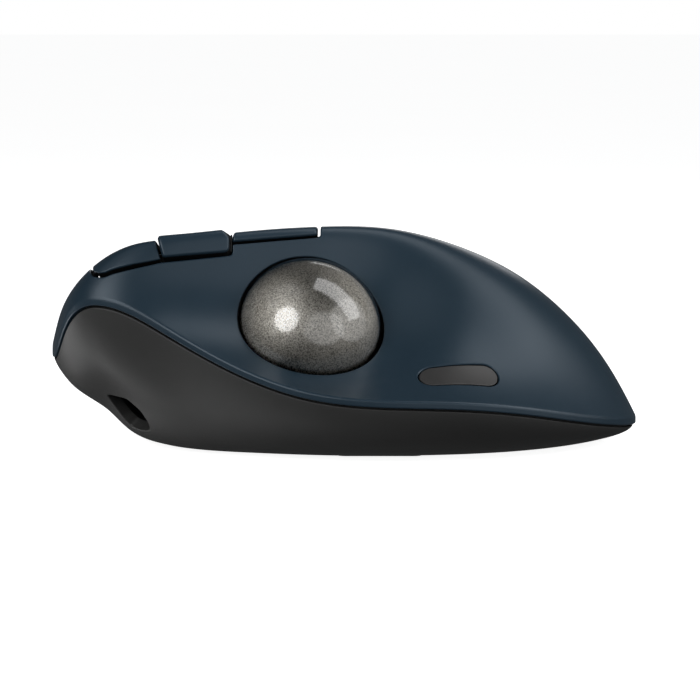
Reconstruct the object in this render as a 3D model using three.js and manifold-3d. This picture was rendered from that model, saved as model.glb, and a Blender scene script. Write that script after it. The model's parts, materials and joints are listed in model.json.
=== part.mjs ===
// Thumb-operated trackball mouse for the right hand, in millimetres, +Z up.
// -X is the finger end (nose), +X the palm end (tail), -Y the thumb side.
// The origin is on the table surface, under the middle of the mouse.
import * as THREE from 'three';
import { mergeVertices } from 'three/addons/utils/BufferGeometryUtils.js';
import Module from 'manifold-3d';

const wasm = await Module();
wasm.setup();

// ---------------------------------------------------------------- outer form
// Stations run from nose to tail. Each holds a point of the left rim, of the
// crest and of the right rim of the upper shell, and of the footprint.
const LEFT_RIM = [
  [-68.5, 0, 22.5], [-67.4, -10, 22.6], [-65.6, -18, 26.0], [-62.8, -24.8, 32.6], [-57.5, -29.3, 36.4],
  [-48.5, -32, 35], [-37.5, -35, 29.2], [-24, -40.5, 22.5], [-8.5, -45.5, 17.5], [8, -47.5, 15.7],
  [25, -45.8, 15.0], [41, -39, 12.9], [54.5, -27.5, 9.7], [64.6, -14, 7.2], [68.5, 0, 6.2],
];
const CREST = [
  [-68.5, 0, 22.5], [-67.4, -3, 26.0], [-65.2, -9, 32.0], [-61.4, -15.5, 37.9], [-55.2, -20.5, 44.1],
  [-47, -23, 48.2], [-36, -22.5, 49.6], [-21, -18.5, 50.9], [-5, -13, 51.5], [11, -7, 50.5],
  [27, -3, 46.0], [42.5, -1, 38.0], [56, 0, 25.8], [64, 0, 14.6], [68.5, 0, 6.2],
];
const RIGHT_RIM = [
  [-68.5, 0, 22.5], [-67.9, 10, 22.3], [-66, 19, 21.8], [-61.5, 27.5, 21.3], [-55, 33.5, 20.7],
  [-46.5, 37.8, 20], [-35, 41.3, 19], [-20.5, 44.5, 18], [-4, 46.8, 17], [13, 47.5, 15.8],
  [29.5, 45, 14], [44.5, 37.5, 11.8], [56.5, 26.5, 9.2], [65, 14, 7], [68.5, 0, 6.2],
];
const LEFT_FOOT = [
  [-43, 0], [-42.6, -5], [-41.5, -10], [-39.5, -14], [-36.5, -17.5], [-32, -20.5], [-26, -23],
  [-16.5, -25.5], [-5, -27.5], [8, -28], [21.5, -26.5], [34, -23], [44.5, -17], [52, -9], [55, 0],
];
const RIGHT_FOOT = [
  [-43, 0], [-42.6, 5], [-41.5, 10.5], [-39, 15.5], [-35.5, 20.5], [-31, 24.5], [-24.5, 28], [-14.5, 31.5],
  [-2, 33.5], [12, 34], [26, 32], [37.5, 27], [46.5, 19], [53, 9.5], [55, 0],
];
// Slope of the skin where it leaves each rim, sideways slope of the crest, both in degrees.
const LEFT_RISE = [88, 86, 84, 78, 72, 60, 36, 18, 13, 14, 24, 37, 50, 58, 62];
const RIGHT_RISE = [88, 86, 80, 70, 60, 54, 52, 54, 56, 58, 60, 60, 60, 60, 62];
const CREST_TILT = [0, 3, 8, 12, 16, 19, 19, 16, 13, 11, 9, 8, 7, 4, 0];
// How far each end keeps its direction, as a share of the rim-to-crest distance.
const LEFT_RIM_PULL = [
  0.55, 0.55, 0.55, 0.55, 0.55, 0.58, 0.68, 0.78, 0.8, 0.76, 0.65, 0.58, 0.55, 0.55, 0.55,
];
const LEFT_CREST_PULL = [
  0.55, 0.52, 0.48, 0.43, 0.36, 0.28, 0.21, 0.17, 0.17, 0.2, 0.3, 0.42, 0.45, 0.5, 0.55,
];
const RIGHT_RIM_PULL = [
  0.55, 0.52, 0.48, 0.42, 0.38, 0.36, 0.36, 0.36, 0.38, 0.4, 0.42, 0.45, 0.5, 0.5, 0.55,
];
const RIGHT_CREST_PULL = [
  0.55, 0.5, 0.42, 0.3, 0.2, 0.16, 0.16, 0.18, 0.22, 0.28, 0.35, 0.4, 0.45, 0.5, 0.55,
];
const SPAN = LEFT_RIM.length - 1;
const RING = 2 * SPAN;
const LIP_HEIGHT = 1.6;      // straight band along the lower edge of the upper shell
const FOOT_THICKNESS = 0.8;  // the rubber feet hold the base this far off the table
// Base profiles: share of the way in from the lip, share of the height left.
const NOSE_PROFILE = [
  [0, 1], [0.03, 0.91], [0.1, 0.77], [0.2, 0.63], [0.34, 0.5], [0.48, 0.37], [0.6, 0.22], [0.72, 0.1],
  [0.86, 0.03], [1, 0],
];
const SIDE_PROFILE = [[0, 1], [0.05, 0.45], [0.45, 0], [1, 0]];
const NOSE_PROFILE_FROM = 2.5;
const NOSE_PROFILE_TO = 6.5;
const TAIL_INSET = 1.8;      // the wedge-shaped tail draws in faster than the walls
const CREST_INSET_SIDE = 0.7;
const RIM_INSET_DROP = 0.3;

// ------------------------------------------------------------------ clearances
const WALL = 2.2;
const SEAM_GAP = 0.3;
const FIT_GAP = 0.3;
const BUTTON_GAP = 0.5;
const BUTTON_WALL = 1.9;
const FORWARD_PROUD = 1;

// ------------------------------------------------------------------ trackball
const BALL_RADIUS = 17;
const BALL_CENTRE = new THREE.Vector3(-8.5, -21, 27.9);
const BALL_AXIS = new THREE.Vector3(0.06, -0.7, 0.71).normalize();
const APERTURE_RADIUS = 17.6;
const APERTURE_DROP = 0.3;   // the opening sits this much lower than the ball
const CUP_INNER = 17.6;
const CUP_OUTER = 20.2;
const CUP_RIM = 3;           // the cup ends this far above the ball's centre, along its axis
const BEARING_RADIUS = 1.25;
const BEARING_GAP = 0.2;
const BEARING_DEPTH = -0.62; // height of the bearings in the cup, as a share of its radius
const SENSOR_DIRECTION = new THREE.Vector3(0.3, 0.5, -0.81).normalize();

// ------------------------------------------------------------- button outlines
const CONSOLE_LEFT = -2.2;   // the strip of shell between the two main buttons
const CONSOLE_RIGHT = 7.2;
const BAY_FRONT = -57.6;
const BAY_REAR = -5.4;
const BAY_RIGHT = 28.5;
const BUTTON_FRONT = BAY_FRONT + BUTTON_GAP;
const BUTTON_REAR = BAY_REAR - 1;
const STRIP_INNER = -13.2;   // inner edge of the forward and back buttons
// The slanted cross gap between left button and forward button: its middle at one height.
const SLIT_X = -41.1;
const SLIT_Z = 45.5;
const SLIT_SLOPE = -0.3;
const SLIT_WIDTH = 0.7;
const FORWARD_END = -25.9;
const FORWARD_LOW = [45.4, 46.3]; // lower edge of the forward button at its two ends
const BACK_START = -25.2;
const BACK_END = -6.1;
const BACK_LOW = [48.75, 49.9];   // the same of the back button

// ----------------------------------------------------------------- scroll wheel
const WHEEL_X = -32;
const WHEEL_Y = 2.5;
const WHEEL_RADIUS = 11;
const WHEEL_PROUD = 3.6;
const WHEEL_WIDTH = 6;
const WHEEL_SIDE_GAP = 1.3;
const WHEEL_LEAN = THREE.MathUtils.degToRad(-10);

const vec = (x, y, z) => new THREE.Vector3(x, y, z);

// ------------------------------------------------------------- smooth curves
function bendsOf(values, closed) {
  const count = values.length;
  const bends = Array(count).fill(0);
  const first = closed ? 0 : 1;
  const last = closed ? count : count - 1;
  for (let pass = 0; pass < 60; pass++) {
    for (let i = first; i < last; i++) {
      const before = (i + count - 1) % count;
      const after = (i + 1) % count;
      const jump = values[after] - 2 * values[i] + values[before];
      bends[i] = (6 * jump - bends[before] - bends[after]) / 4;
    }
  }
  return bends;
}

function makeSpline(values, closed = false) {
  const count = values.length;
  const bends = bendsOf(values, closed);
  return (t) => {
    const piece = closed ? Math.floor(t) : Math.min(Math.max(Math.floor(t), 0), count - 2);
    const a = ((piece % count) + count) % count;
    const b = (a + 1) % count;
    const f = t - piece;
    const g = 1 - f;
    return g * values[a] + f * values[b] + ((g ** 3 - g) * bends[a] + (f ** 3 - f) * bends[b]) / 6;
  };
}

function makeCurve(points, closed = false) {
  const axes = [0, 1, 2].map((k) => makeSpline(points.map((point) => point[k]), closed));
  return (t) => vec(axes[0](t), axes[1](t), axes[2](t));
}

function bezier(a, b, c, d, p) {
  const q = 1 - p;
  return q ** 3 * a + 3 * q * q * p * b + 3 * q * p * p * c + p ** 3 * d;
}

function tangentOf(curve, t) {
  const step = 1e-3;
  return curve(t + step).sub(curve(t - step)).normalize();
}

function inwardOf(curve, t) {
  const along = tangentOf(curve, t);
  return vec(-along.y, along.x, 0).normalize();
}

const ringOf = (left, right) => [...left, ...right.slice(1, -1).reverse()];
const noseSpline = [0, 1].map((k) => makeSpline(NOSE_PROFILE.map((point) => point[k])));
const leftRise = makeSpline(LEFT_RISE);
const rightRise = makeSpline(RIGHT_RISE);
const crestTilt = makeSpline(CREST_TILT);
const pulls = [[LEFT_RIM_PULL, LEFT_CREST_PULL], [RIGHT_RIM_PULL, RIGHT_CREST_PULL]]
  .map((pair) => pair.map((values) => makeSpline(values)));

// The whole outer form, drawn in by `inset` all round. A negative inset stands proud.
function makeForm(inset) {
  const outerRim = makeCurve(ringOf(LEFT_RIM, RIGHT_RIM), true);
  const rimPoints = ringOf(LEFT_RIM, RIGHT_RIM).map((point, i) => {
    const move = inwardOf(outerRim, i).multiplyScalar(inset * (i === SPAN ? TAIL_INSET : 1));
    return [point[0] + move.x, point[1] + move.y, point[2] - RIM_INSET_DROP * inset];
  });
  const outerCrest = makeCurve(CREST);
  const crestPoints = CREST.map((point, i) => {
    if (i === 0 || i === SPAN) return rimPoints[i];
    const along = tangentOf(outerCrest, i);
    const side = CREST_INSET_SIDE * Math.sin(Math.PI * i / SPAN);
    return [point[0] + inset * along.z, point[1] + inset * side, point[2] - inset * along.x];
  });
  const outerFoot = makeCurve(ringOf(LEFT_FOOT, RIGHT_FOOT).map(([x, y]) => [x, y, 0]), true);
  const footPoints = ringOf(LEFT_FOOT, RIGHT_FOOT).map(([x, y], i) => {
    const move = inwardOf(outerFoot, i).multiplyScalar(inset);
    return [x + move.x, y + move.y, FOOT_THICKNESS + inset];
  });
  const rim = makeCurve(rimPoints, true);
  const crest = makeCurve(crestPoints);
  const foot = makeCurve(footPoints, true);

  function skin(v, w) {
    const side = w <= 0 ? -1 : 1;
    const t = side < 0 ? v : (RING - v) % RING;
    const rise = THREE.MathUtils.degToRad(side < 0 ? leftRise(v) : rightRise(v));
    const tilt = THREE.MathUtils.degToRad(crestTilt(v));
    const edge = rim(t);
    const top = crest(v);
    const chord = top.distanceTo(edge);
    const [rimPull, crestPull] = pulls[side < 0 ? 0 : 1].map((pull) => pull(v) * chord);
    const up = inwardOf(rim, t).multiplyScalar(Math.cos(rise));
    up.z = Math.sin(rise);
    const nearEdge = edge.clone().addScaledVector(up, rimPull);
    const across = vec(0, side * Math.cos(tilt), -side * Math.sin(tilt));
    const nearTop = top.clone().addScaledVector(across, crestPull);
    const p = 1 - Math.abs(w);
    return vec(...['x', 'y', 'z'].map((k) => bezier(edge[k], nearEdge[k], nearTop[k], top[k], p)));
  }

  function lip(t) {
    const down = tangentOf(rim, t).cross(inwardOf(rim, t)).normalize();
    if (down.z > 0) down.negate();
    return rim(t).addScaledVector(down, LIP_HEIGHT);
  }

  function wall(t, s) {
    const top = lip(t);
    const bottom = foot(t);
    const fromNose = Math.min(t, RING - t);
    const side = THREE.MathUtils.smoothstep(fromNose, NOSE_PROFILE_FROM, NOSE_PROFILE_TO);
    const [inward, height] = [0, 1].map((k) => {
      const round = bezier(...SIDE_PROFILE.map((point) => point[k]), s);
      const overhang = noseSpline[k](s * (NOSE_PROFILE.length - 1));
      return THREE.MathUtils.lerp(overhang, round, side);
    });
    return vec(
      THREE.MathUtils.lerp(top.x, bottom.x, inward),
      THREE.MathUtils.lerp(top.y, bottom.y, inward),
      THREE.MathUtils.lerp(bottom.z, top.z, height),
    );
  }
  return { rim, skin, lip, wall };
}

// ------------------------------------------------------------- solid helpers
function toSolid(geometry) {
  const plain = geometry.index ? geometry.toNonIndexed() : geometry.clone();
  plain.deleteAttribute('normal');
  plain.deleteAttribute('uv');
  const merged = mergeVertices(plain, 1e-4);
  const corners = merged.index.array;
  const kept = [];
  for (let i = 0; i < corners.length; i += 3) {
    const [a, b, c] = [corners[i], corners[i + 1], corners[i + 2]];
    if (a !== b && b !== c && c !== a) kept.push(a, b, c);
  }
  const vertProperties = new Float32Array(merged.attributes.position.array);
  return new wasm.Manifold(new wasm.Mesh({ numProp: 3, vertProperties, triVerts: new Uint32Array(kept) }));
}

function toGeometry(solid) {
  const { vertProperties, triVerts } = solid.getMesh();
  const geometry = new THREE.BufferGeometry();
  geometry.setAttribute('position', new THREE.BufferAttribute(vertProperties, 3));
  geometry.setIndex(new THREE.BufferAttribute(triVerts, 1));
  geometry.computeVertexNormals();
  return geometry;
}

// A closed solid from rows of points, each row a section of the same length.
function latticeSolid(rows, wrapRows, wrapColumns) {
  const rowCount = rows.length - (wrapRows ? 0 : 1);
  const columns = rows[0].length;
  const columnCount = columns - (wrapColumns ? 0 : 1);
  const corners = [];
  let volume = 0;
  const triangle = (a, b, c) => {
    corners.push(a, b, c);
    volume += a.dot(b.clone().cross(c));
  };
  for (let i = 0; i < rowCount; i++) {
    const row = rows[i];
    const next = rows[(i + 1) % rows.length];
    for (let j = 0; j < columnCount; j++) {
      const k = (j + 1) % columns;
      triangle(row[j], next[j], next[k]);
      triangle(row[j], next[k], row[k]);
    }
  }
  if (volume < 0) corners.reverse();
  return toSolid(new THREE.BufferGeometry().setFromPoints(corners));
}

function formSolid(inset, rows = 30, skinSteps = 14, wallSteps = 6) {
  const form = makeForm(inset);
  const sections = [];
  for (let i = 0; i <= rows; i++) {
    const v = SPAN * i / rows;
    const opposite = (RING - v) % RING;
    const section = [];
    for (let j = wallSteps; j >= 0; j--) section.push(form.wall(v, j / wallSteps));
    for (let j = 0; j <= skinSteps; j++) section.push(form.skin(v, 2 * j / skinSteps - 1));
    for (let j = 0; j <= wallSteps; j++) section.push(form.wall(opposite, j / wallSteps));
    sections.push(section);
  }
  return latticeSolid(sections, false, true);
}

// Everything above (or below) the surface that parts the upper shell from the base.
function partingSolid(above) {
  const form = makeForm(0);
  const offset = (above ? 1 : -1) * SEAM_GAP / 2;
  const far = above ? 90 : -30;
  const reach = 9;
  const steps = 90;
  const sections = [];
  for (let i = 0; i < steps; i++) {
    const t = RING * i / steps;
    const edge = form.lip(t);
    edge.z += offset;
    const outside = edge.clone().addScaledVector(inwardOf(form.rim, t), -reach);
    sections.push([vec(0, 0, 20 + offset), edge, outside, vec(outside.x, outside.y, far), vec(0, 0, far)]);
  }
  return latticeSolid(sections, true, false);
}

// An outline with each corner rounded by a radius of its own.
function outline(points, radius) {
  const shape = new THREE.Shape();
  points.forEach(([x, y, own = radius], i) => {
    const corner = new THREE.Vector2(x, y);
    const [before, after] = [points.at(i - 1), points[(i + 1) % points.length]]
      .map(([px, py]) => new THREE.Vector2(px, py).sub(corner).normalize().multiplyScalar(own).add(corner));
    if (i === 0) shape.moveTo(before.x, before.y);
    else shape.lineTo(before.x, before.y);
    if (own > 0) shape.quadraticCurveTo(x, y, after.x, after.y);
  });
  shape.closePath();
  return shape;
}

const rectangle = (x0, x1, y0, y1, radius) => outline([[x0, y0], [x1, y0], [x1, y1], [x0, y1]], radius);

function extrude(shape, low, high) {
  const settings = { depth: high - low, bevelEnabled: false, curveSegments: 4 };
  const geometry = new THREE.ExtrudeGeometry(shape, settings);
  return geometry.translate(0, 0, low);
}

const prismUp = (shape, low, high) => toSolid(extrude(shape, low, high));
// The shape's own y is height: the prism runs along Y from low to high.
const prismAcross = (shape, low, high) => toSolid(extrude(shape, -high, -low).rotateX(Math.PI / 2));

// A frame at a point, its z along `normal` and its x as close to `ahead` as it can be.
function frameAt(point, normal, ahead = vec(1, 0, 0)) {
  const z = normal.clone().normalize();
  const y = z.clone().cross(ahead).normalize();
  const x = y.clone().cross(z);
  return new THREE.Matrix4().makeBasis(x, y, z).setPosition(point);
}

const boxGeometry = (x, y, z, sx, sy, sz) => new THREE.BoxGeometry(sx, sy, sz).translate(x, y, z);
const uprightCylinder = (x, y, low, high, radius, sides = 20) => new THREE.CylinderGeometry(
  radius, radius, high - low, sides).rotateX(Math.PI / 2).translate(x, y, (low + high) / 2);

// A sphere with its poles on the ball's axis.
function ballGeometry(centre, radius, around = 28, down = 18) {
  const sphere = new THREE.SphereGeometry(radius, around, down).rotateX(Math.PI / 2);
  return sphere.applyMatrix4(frameAt(centre, BALL_AXIS));
}

// The point of the outer skin above plan position (x, y), with its normal.
function onSkin(x, y, inset = 0) {
  const form = makeForm(inset);
  let v = THREE.MathUtils.clamp((x + 70) / 10, 1, SPAN - 1);
  let w = 0.3 * Math.sign(y + 15);
  const step = 1e-3;
  let point = vec(0, 0, 0);
  let alongV = vec(1, 0, 0);
  let alongW = vec(0, 1, 0);
  for (let pass = 0; pass < 40; pass++) {
    point = form.skin(v, w);
    const sign = w > 0 ? -1 : 1;
    alongV = form.skin(v + step, w).sub(form.skin(v - step, w)).divideScalar(2 * step);
    alongW = form.skin(v, w + sign * step).sub(point).divideScalar(sign * step);
    const miss = vec(x, y, 0).sub(point);
    const area = alongV.x * alongW.y - alongV.y * alongW.x;
    v += THREE.MathUtils.clamp((miss.x * alongW.y - miss.y * alongW.x) / area, -0.5, 0.5);
    w += THREE.MathUtils.clamp((alongV.x * miss.y - alongV.y * miss.x) / area, -0.15, 0.15);
    v = THREE.MathUtils.clamp(v, 0.1, SPAN - 0.1);
    w = THREE.MathUtils.clamp(w, -0.99, 0.99);
  }
  const normal = alongV.cross(alongW).normalize();
  return { point, normal: normal.z < 0 ? normal.negate() : normal };
}

// --------------------------------------------------------------- materials
const finish = (color, roughness, metalness = 0) => new THREE.MeshStandardMaterial({
  color, roughness, metalness,
});
const materials = {
  shell: finish(0x2d3b46, 0.62),
  base: finish(0x2e2e2f, 0.7),
  badge: finish(0x3c3c3e, 0.45),
  ball: finish(0xb9b4ab, 0.3, 0.8),
  inner: finish(0x1c1d1f, 0.6),
  board: finish(0x1f4f36, 0.5),
  rubber: finish(0x17181a, 0.9),
  steel: finish(0x8f9296, 0.35, 1),
  ceramic: finish(0xe9e6df, 0.25),
  lens: finish(0x8c2a2a, 0.1),
  cell: finish(0x9aa0a6, 0.5, 0.3),
  lamp: finish(0xdfe6ea, 0.3),
};
const mouse = new THREE.Group();

function add(name, shape, material) {
  const geometry = shape.isBufferGeometry ? shape : toGeometry(shape);
  const mesh = new THREE.Mesh(geometry, material);
  mesh.name = name;
  mouse.add(mesh);
  return mesh;
}

// ------------------------------------------------------- shared whole forms
const outer = formSolid(0);
const cavity = formSolid(WALL, 22, 10, 4);
const middle = formSolid(WALL / 2, 22, 10, 4);
const interior = formSolid(WALL + 0.9, 22, 10, 4);
const buttonSkin = outer.subtract(formSolid(BUTTON_WALL, 26, 12, 5));
const aboveSeam = partingSolid(true);
const belowSeam = partingSolid(false);

// -------------------------------------------------------- button outlines
// Lower edge of the opening for the buttons, seen from the thumb side as [x, z].
const FLANK_EDGE = [
  [BAY_FRONT, 42.4, 0.2], [-56.9, 41.35, 0.6], [-54.3, 41.1, 1], [-52.2, 42, 1], [-48, 43, 1],
  [-41.2, 44.4, 1], [-25.2, 45.7, 1], [-25.2, 48.1, 0.3], [BAY_REAR, 49.3, 0.8],
];
const FLANK_GAP = 0.75;
const FLANK_INNER_Y = -13;
const lift = (points, up) => points.map(([x, z, radius]) => [x, z + up, radius]);

// The opening in the shell: cut sideways on the flank, downwards on the top.
function buttonBays() {
  const flank = outline([...FLANK_EDGE, [BAY_REAR, 70, 0], [BAY_FRONT, 70, 0]], 0);
  const left = rectangle(BAY_FRONT, BAY_REAR, FLANK_INNER_Y - 3, CONSOLE_LEFT, 1.2);
  const head = rectangle(BAY_FRONT, SLIT_X, FLANK_INNER_Y - 5.5, CONSOLE_LEFT, 1.2);
  const ledge = rectangle(SLIT_X, -18, FLANK_INNER_Y - 6.2, FLANK_INNER_Y, 0.5);
  const right = rectangle(BAY_FRONT, BAY_REAR, CONSOLE_RIGHT, BAY_RIGHT, 4);
  return prismAcross(flank, -50, FLANK_INNER_Y + 0.5)
    .add(prismUp(left, 26, 70))
    .add(prismUp(head, 26, 70))
    .add(prismUp(ledge, 46.6, 70))
    .add(prismUp(right, 20, 70));
}

// The x of the slit at a height, on its nose side (-1) or its tail side (1).
const slitAt = (z, side) => SLIT_X + (z - SLIT_Z) * SLIT_SLOPE + side * SLIT_WIDTH / 2;

// The space above an edge on the thumb-side flank, closed by two top corners.
function aboveEdge(edge, x0, x1, innerY) {
  return prismAcross(outline([...edge, [x1, 70, 0], [x0, 70, 0]], 0), -50, innerY);
}

// A plunger from a thumb button's skin down to just above its switch.
function plunger(x, y, low) {
  return toSolid(uprightCylinder(x, y, low, 60, 1.6, 12)).intersect(middle);
}

// The same for a main button, square to the front board.
function boardPlunger([x, y]) {
  const [localX, localY] = boardPlace(x, y);
  const stem = uprightCylinder(localX, localY, SWITCH_TOP + PRESS_GAP, 30, 1.6, 12);
  return toSolid(onBoard(stem)).intersect(middle);
}

// ------------------------------------------------------------- inner layout
const FRONT_BOARD_DEPTH = 11.5;
const SWITCH_HEIGHT = 5.2;
const THUMB_BOARD_Z = 41.2;
const THUMB_BOARD_THICK = 1.2;
const TACT_HEIGHT = 2.8;
const MAIN_BOARD_Z = 8;
const BOARD_THICK = 1.6;
const LEFT_SWITCH = [-45.5, -13];
const RIGHT_SWITCH = [-45.5, 14.2];
const FORWARD_SWITCH = [-33.5, -17.8];
const BACK_SWITCH = [-23.2, -17.1];
const DPI_PLACE = [-14, 2.5];
const LED_PLACE = [-8.2, 2.5];
const SHELL_SCREWS = [[4, 26], [30, -20], [42, 15]];
const FRAME_SCREW = [-34, 17];
const EJECT_RADIUS = 6;
const POWER_SLOT = [-22, 9];
const POWER_SLOT_LENGTH = 9;
const PAIR_PLACE = [-8, 9];
const PAIR_RADIUS = 3;
// Charging port opening in the overhanging nose, seen from the thumb side as [x, z].
const PORT_EDGE = [
  [-54.4, 13.3], [-49.5, 12.7], [-46.4, 10.1], [-44.7, 7.2], [-44.5, 5.3], [-47, 4.8], [-49.3, 5.5],
  [-51.1, 7.7], [-52.9, 10.6],
];
// Each foot: name, x, y, length, width.
const FEET = [
  ['front', -37.5, 0, 5, 20], ['tail', 47.5, 0, 6, 15],
  ['thumb', 8, -22.5, 20, 5], ['outer', 20, 26.5, 22, 5],
];

const boardSpot = onSkin(-44, 2.5);
const boardNormal = vec(0, boardSpot.normal.y, boardSpot.normal.z).normalize();
const boardOrigin = boardSpot.point.clone().addScaledVector(boardNormal, -FRONT_BOARD_DEPTH);
const boardFrame = frameAt(boardOrigin, boardNormal);
const onBoard = (geometry) => geometry.applyMatrix4(boardFrame);

const PRESS_GAP = 0.7;
const SWITCH_BASE = 1.5;
const SWITCH_TOP = SWITCH_BASE + SWITCH_HEIGHT;
function boardPlace(x, y) {
  const origin = vec(0, 0, 0).applyMatrix4(boardFrame);
  return [x - origin.x, (y - origin.y) / boardNormal.z];
}

const wheelSpot = onSkin(WHEEL_X, WHEEL_Y);
const wheelUp = vec(0, -Math.sin(WHEEL_LEAN), Math.cos(WHEEL_LEAN));
const wheelCentre = wheelSpot.point.clone().addScaledVector(wheelUp, WHEEL_PROUD - WHEEL_RADIUS);
const wheelFrame = frameAt(wheelCentre, wheelUp);
const onWheel = (geometry) => geometry.applyMatrix4(wheelFrame);

// ------------------------------------------------------------------ casings

const BADGE_PLACE = [25.6, -36.1];
const BADGE_LENGTH = 17.8;
const BADGE_HEIGHT = 6.3;
const BADGE_DEPTH = 0.9;
function badgePrism(grow) {
  const spot = onSkin(...BADGE_PLACE);
  const level = vec(-spot.normal.y, spot.normal.x, 0);
  const halfLength = BADGE_LENGTH / 2 + grow;
  const halfHeight = BADGE_HEIGHT / 2 + grow;
  const pill = new THREE.Shape();
  pill.absarc(halfLength - halfHeight, 0, halfHeight, -Math.PI / 2, Math.PI / 2);
  pill.absarc(halfHeight - halfLength, 0, halfHeight, Math.PI / 2, Math.PI * 1.5);
  const prism = new THREE.ExtrudeGeometry(pill, { depth: 12, bevelEnabled: false, curveSegments: 10 });
  return toSolid(prism.translate(0, 0, -6).applyMatrix4(frameAt(spot.point, spot.normal, level)));
}

function upperShell() {
  let shell = outer.subtract(cavity).intersect(aboveSeam).subtract(buttonBays());
  for (const [x, y] of SHELL_SCREWS) {
    shell = shell.add(toSolid(uprightCylinder(x, y, 12, 60, 3.2)).intersect(middle));
    shell = shell.subtract(toSolid(uprightCylinder(x, y, 0, 20, 1.4, 12)));
  }
  shell = shell.add(toSolid(uprightCylinder(-18.2, 2.5, 41.3, 60, 1.2, 10)).intersect(middle));
  const wheelHalf = WHEEL_WIDTH / 2 + WHEEL_SIDE_GAP;
  const wheelSlot = extrude(rectangle(-10.6, 10.6, -wheelHalf, wheelHalf, 3), 0, 20);
  const ballHole = ballGeometry(BALL_CENTRE, APERTURE_RADIUS, 40, 24).translate(0, 0, -APERTURE_DROP);
  const dpi = extrude(rectangle(-3.8, 3.8, -2.1, 2.1, 2), -30, 30).translate(...DPI_PLACE, 45);
  const led = uprightCylinder(...LED_PLACE, 30, 60, 0.9, 12);
  return shell
    .subtract(toSolid(ballHole))
    .subtract(toSolid(onWheel(wheelSlot)))
    .subtract(toSolid(dpi))
    .subtract(toSolid(led))
    .subtract(badgePrism(FIT_GAP).subtract(formSolid(BADGE_DEPTH, 26, 12, 5)));
}

function baseShell() {
  let base = outer.subtract(cavity).intersect(belowSeam);
  for (const [x, y] of SHELL_SCREWS) {
    base = base.add(toSolid(uprightCylinder(x, y, 2, 11.7, 3.2)));
    base = base.subtract(toSolid(uprightCylinder(x, y, -1, 20, 1.4, 12)));
    base = base.subtract(toSolid(uprightCylinder(x, y, -1, 3.2, 2.3, 16)));
  }
  base = base.add(toSolid(uprightCylinder(...FRAME_SCREW, 2, 6.7, 3.2)));
  base = base.subtract(toSolid(uprightCylinder(...FRAME_SCREW, -1, 20, 1.4, 12)));
  base = base.subtract(toSolid(uprightCylinder(...FRAME_SCREW, -1, 3.2, 2.3, 16)));
  for (const [, x, y, length, width] of FEET) {
    const recess = rectangle(x - length / 2, x + length / 2, y - width / 2, y + width / 2, 2.4);
    base = base.subtract(prismUp(recess, -1, FOOT_THICKNESS + 0.6));
  }
  const [slotX, slotY] = POWER_SLOT;
  const slotHalf = POWER_SLOT_LENGTH / 2;
  const slot = rectangle(slotX - slotHalf, slotX + slotHalf, slotY - 1.7, slotY + 1.7, 1);
  return base
    .subtract(toSolid(uprightCylinder(BALL_CENTRE.x, BALL_CENTRE.y, -1, 6, EJECT_RADIUS, 28)))
    .subtract(prismUp(slot, -1, 6))
    .subtract(toSolid(uprightCylinder(...PAIR_PLACE, -1, 6, PAIR_RADIUS + FIT_GAP)))
    .subtract(prismAcross(outline(PORT_EDGE, 0.8), -45, -6))
    .subtract(toSolid(boxGeometry(-39.5, -10, 6.9, 10.7, 11.8, 5.8)));
}

add('upper_shell', upperShell(), materials.shell);
add('base_shell', baseShell(), materials.base);
const badgeSkin = outer.subtract(formSolid(BADGE_DEPTH - FIT_GAP, 26, 12, 5));
add('side_badge', badgeSkin.intersect(badgePrism(0)), materials.badge);

// ------------------------------------------------------------------ buttons
function leftButton() {
  const inner = CONSOLE_LEFT - BUTTON_GAP;
  const edge = [
    [BUTTON_FRONT, 43.1, 0.3], ...lift(FLANK_EDGE.slice(1, 5), FLANK_GAP), [slitAt(45.1, -1), 45.1, 0.4],
  ];
  const wide = aboveEdge(edge, BUTTON_FRONT, slitAt(70, -1), inner);
  const beforeSlit = outline([[-70, 26], [slitAt(26, -1), 26], [slitAt(70, -1), 70], [-70, 70]], 0);
  const head = prismUp(rectangle(BUTTON_FRONT, SLIT_X, -18, inner, 0.8), 26, 70)
    .intersect(prismAcross(beforeSlit, -30, 10));
  const rear = prismUp(rectangle(BUTTON_FRONT, BUTTON_REAR, STRIP_INNER + BUTTON_GAP, inner, 0.8), 26, 70);
  return buttonSkin.intersect(wide.add(head).add(rear)).add(boardPlunger(LEFT_SWITCH));
}

function rightButton() {
  const area = rectangle(BUTTON_FRONT, BUTTON_REAR, CONSOLE_RIGHT + BUTTON_GAP, BAY_RIGHT - BUTTON_GAP, 3.5);
  return buttonSkin.intersect(prismUp(area, 20, 70)).add(boardPlunger(RIGHT_SWITCH));
}

// The forward button stands a little proud of the skin and its rear top corner is cut off.
function forwardButton() {
  const proud = formSolid(-FORWARD_PROUD).subtract(formSolid(BUTTON_WALL, 26, 12, 5));
  const [low, lowEnd] = FORWARD_LOW;
  const edge = [
    [slitAt(low, 1), low, 0.6], [FORWARD_END, lowEnd, 1.3], [FORWARD_END, 49.9, 0.6],
    [FORWARD_END - 1.8, 51.9, 0.6],
  ];
  return proud
    .intersect(aboveEdge(edge, slitAt(70, 1), FORWARD_END - 1.8, STRIP_INNER))
    .add(plunger(...FORWARD_SWITCH, 46));
}

function backButton() {
  const edge = [[BACK_START, BACK_LOW[0], 0.4], [BACK_END, BACK_LOW[1], 0.4]];
  return buttonSkin
    .intersect(aboveEdge(edge, BACK_START, BACK_END, STRIP_INNER))
    .add(plunger(...BACK_SWITCH, 46));
}

add('left_button', leftButton(), materials.shell);
add('right_button', rightButton(), materials.shell);
add('forward_button', forwardButton(), materials.shell);
add('back_button', backButton(), materials.shell);

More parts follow.
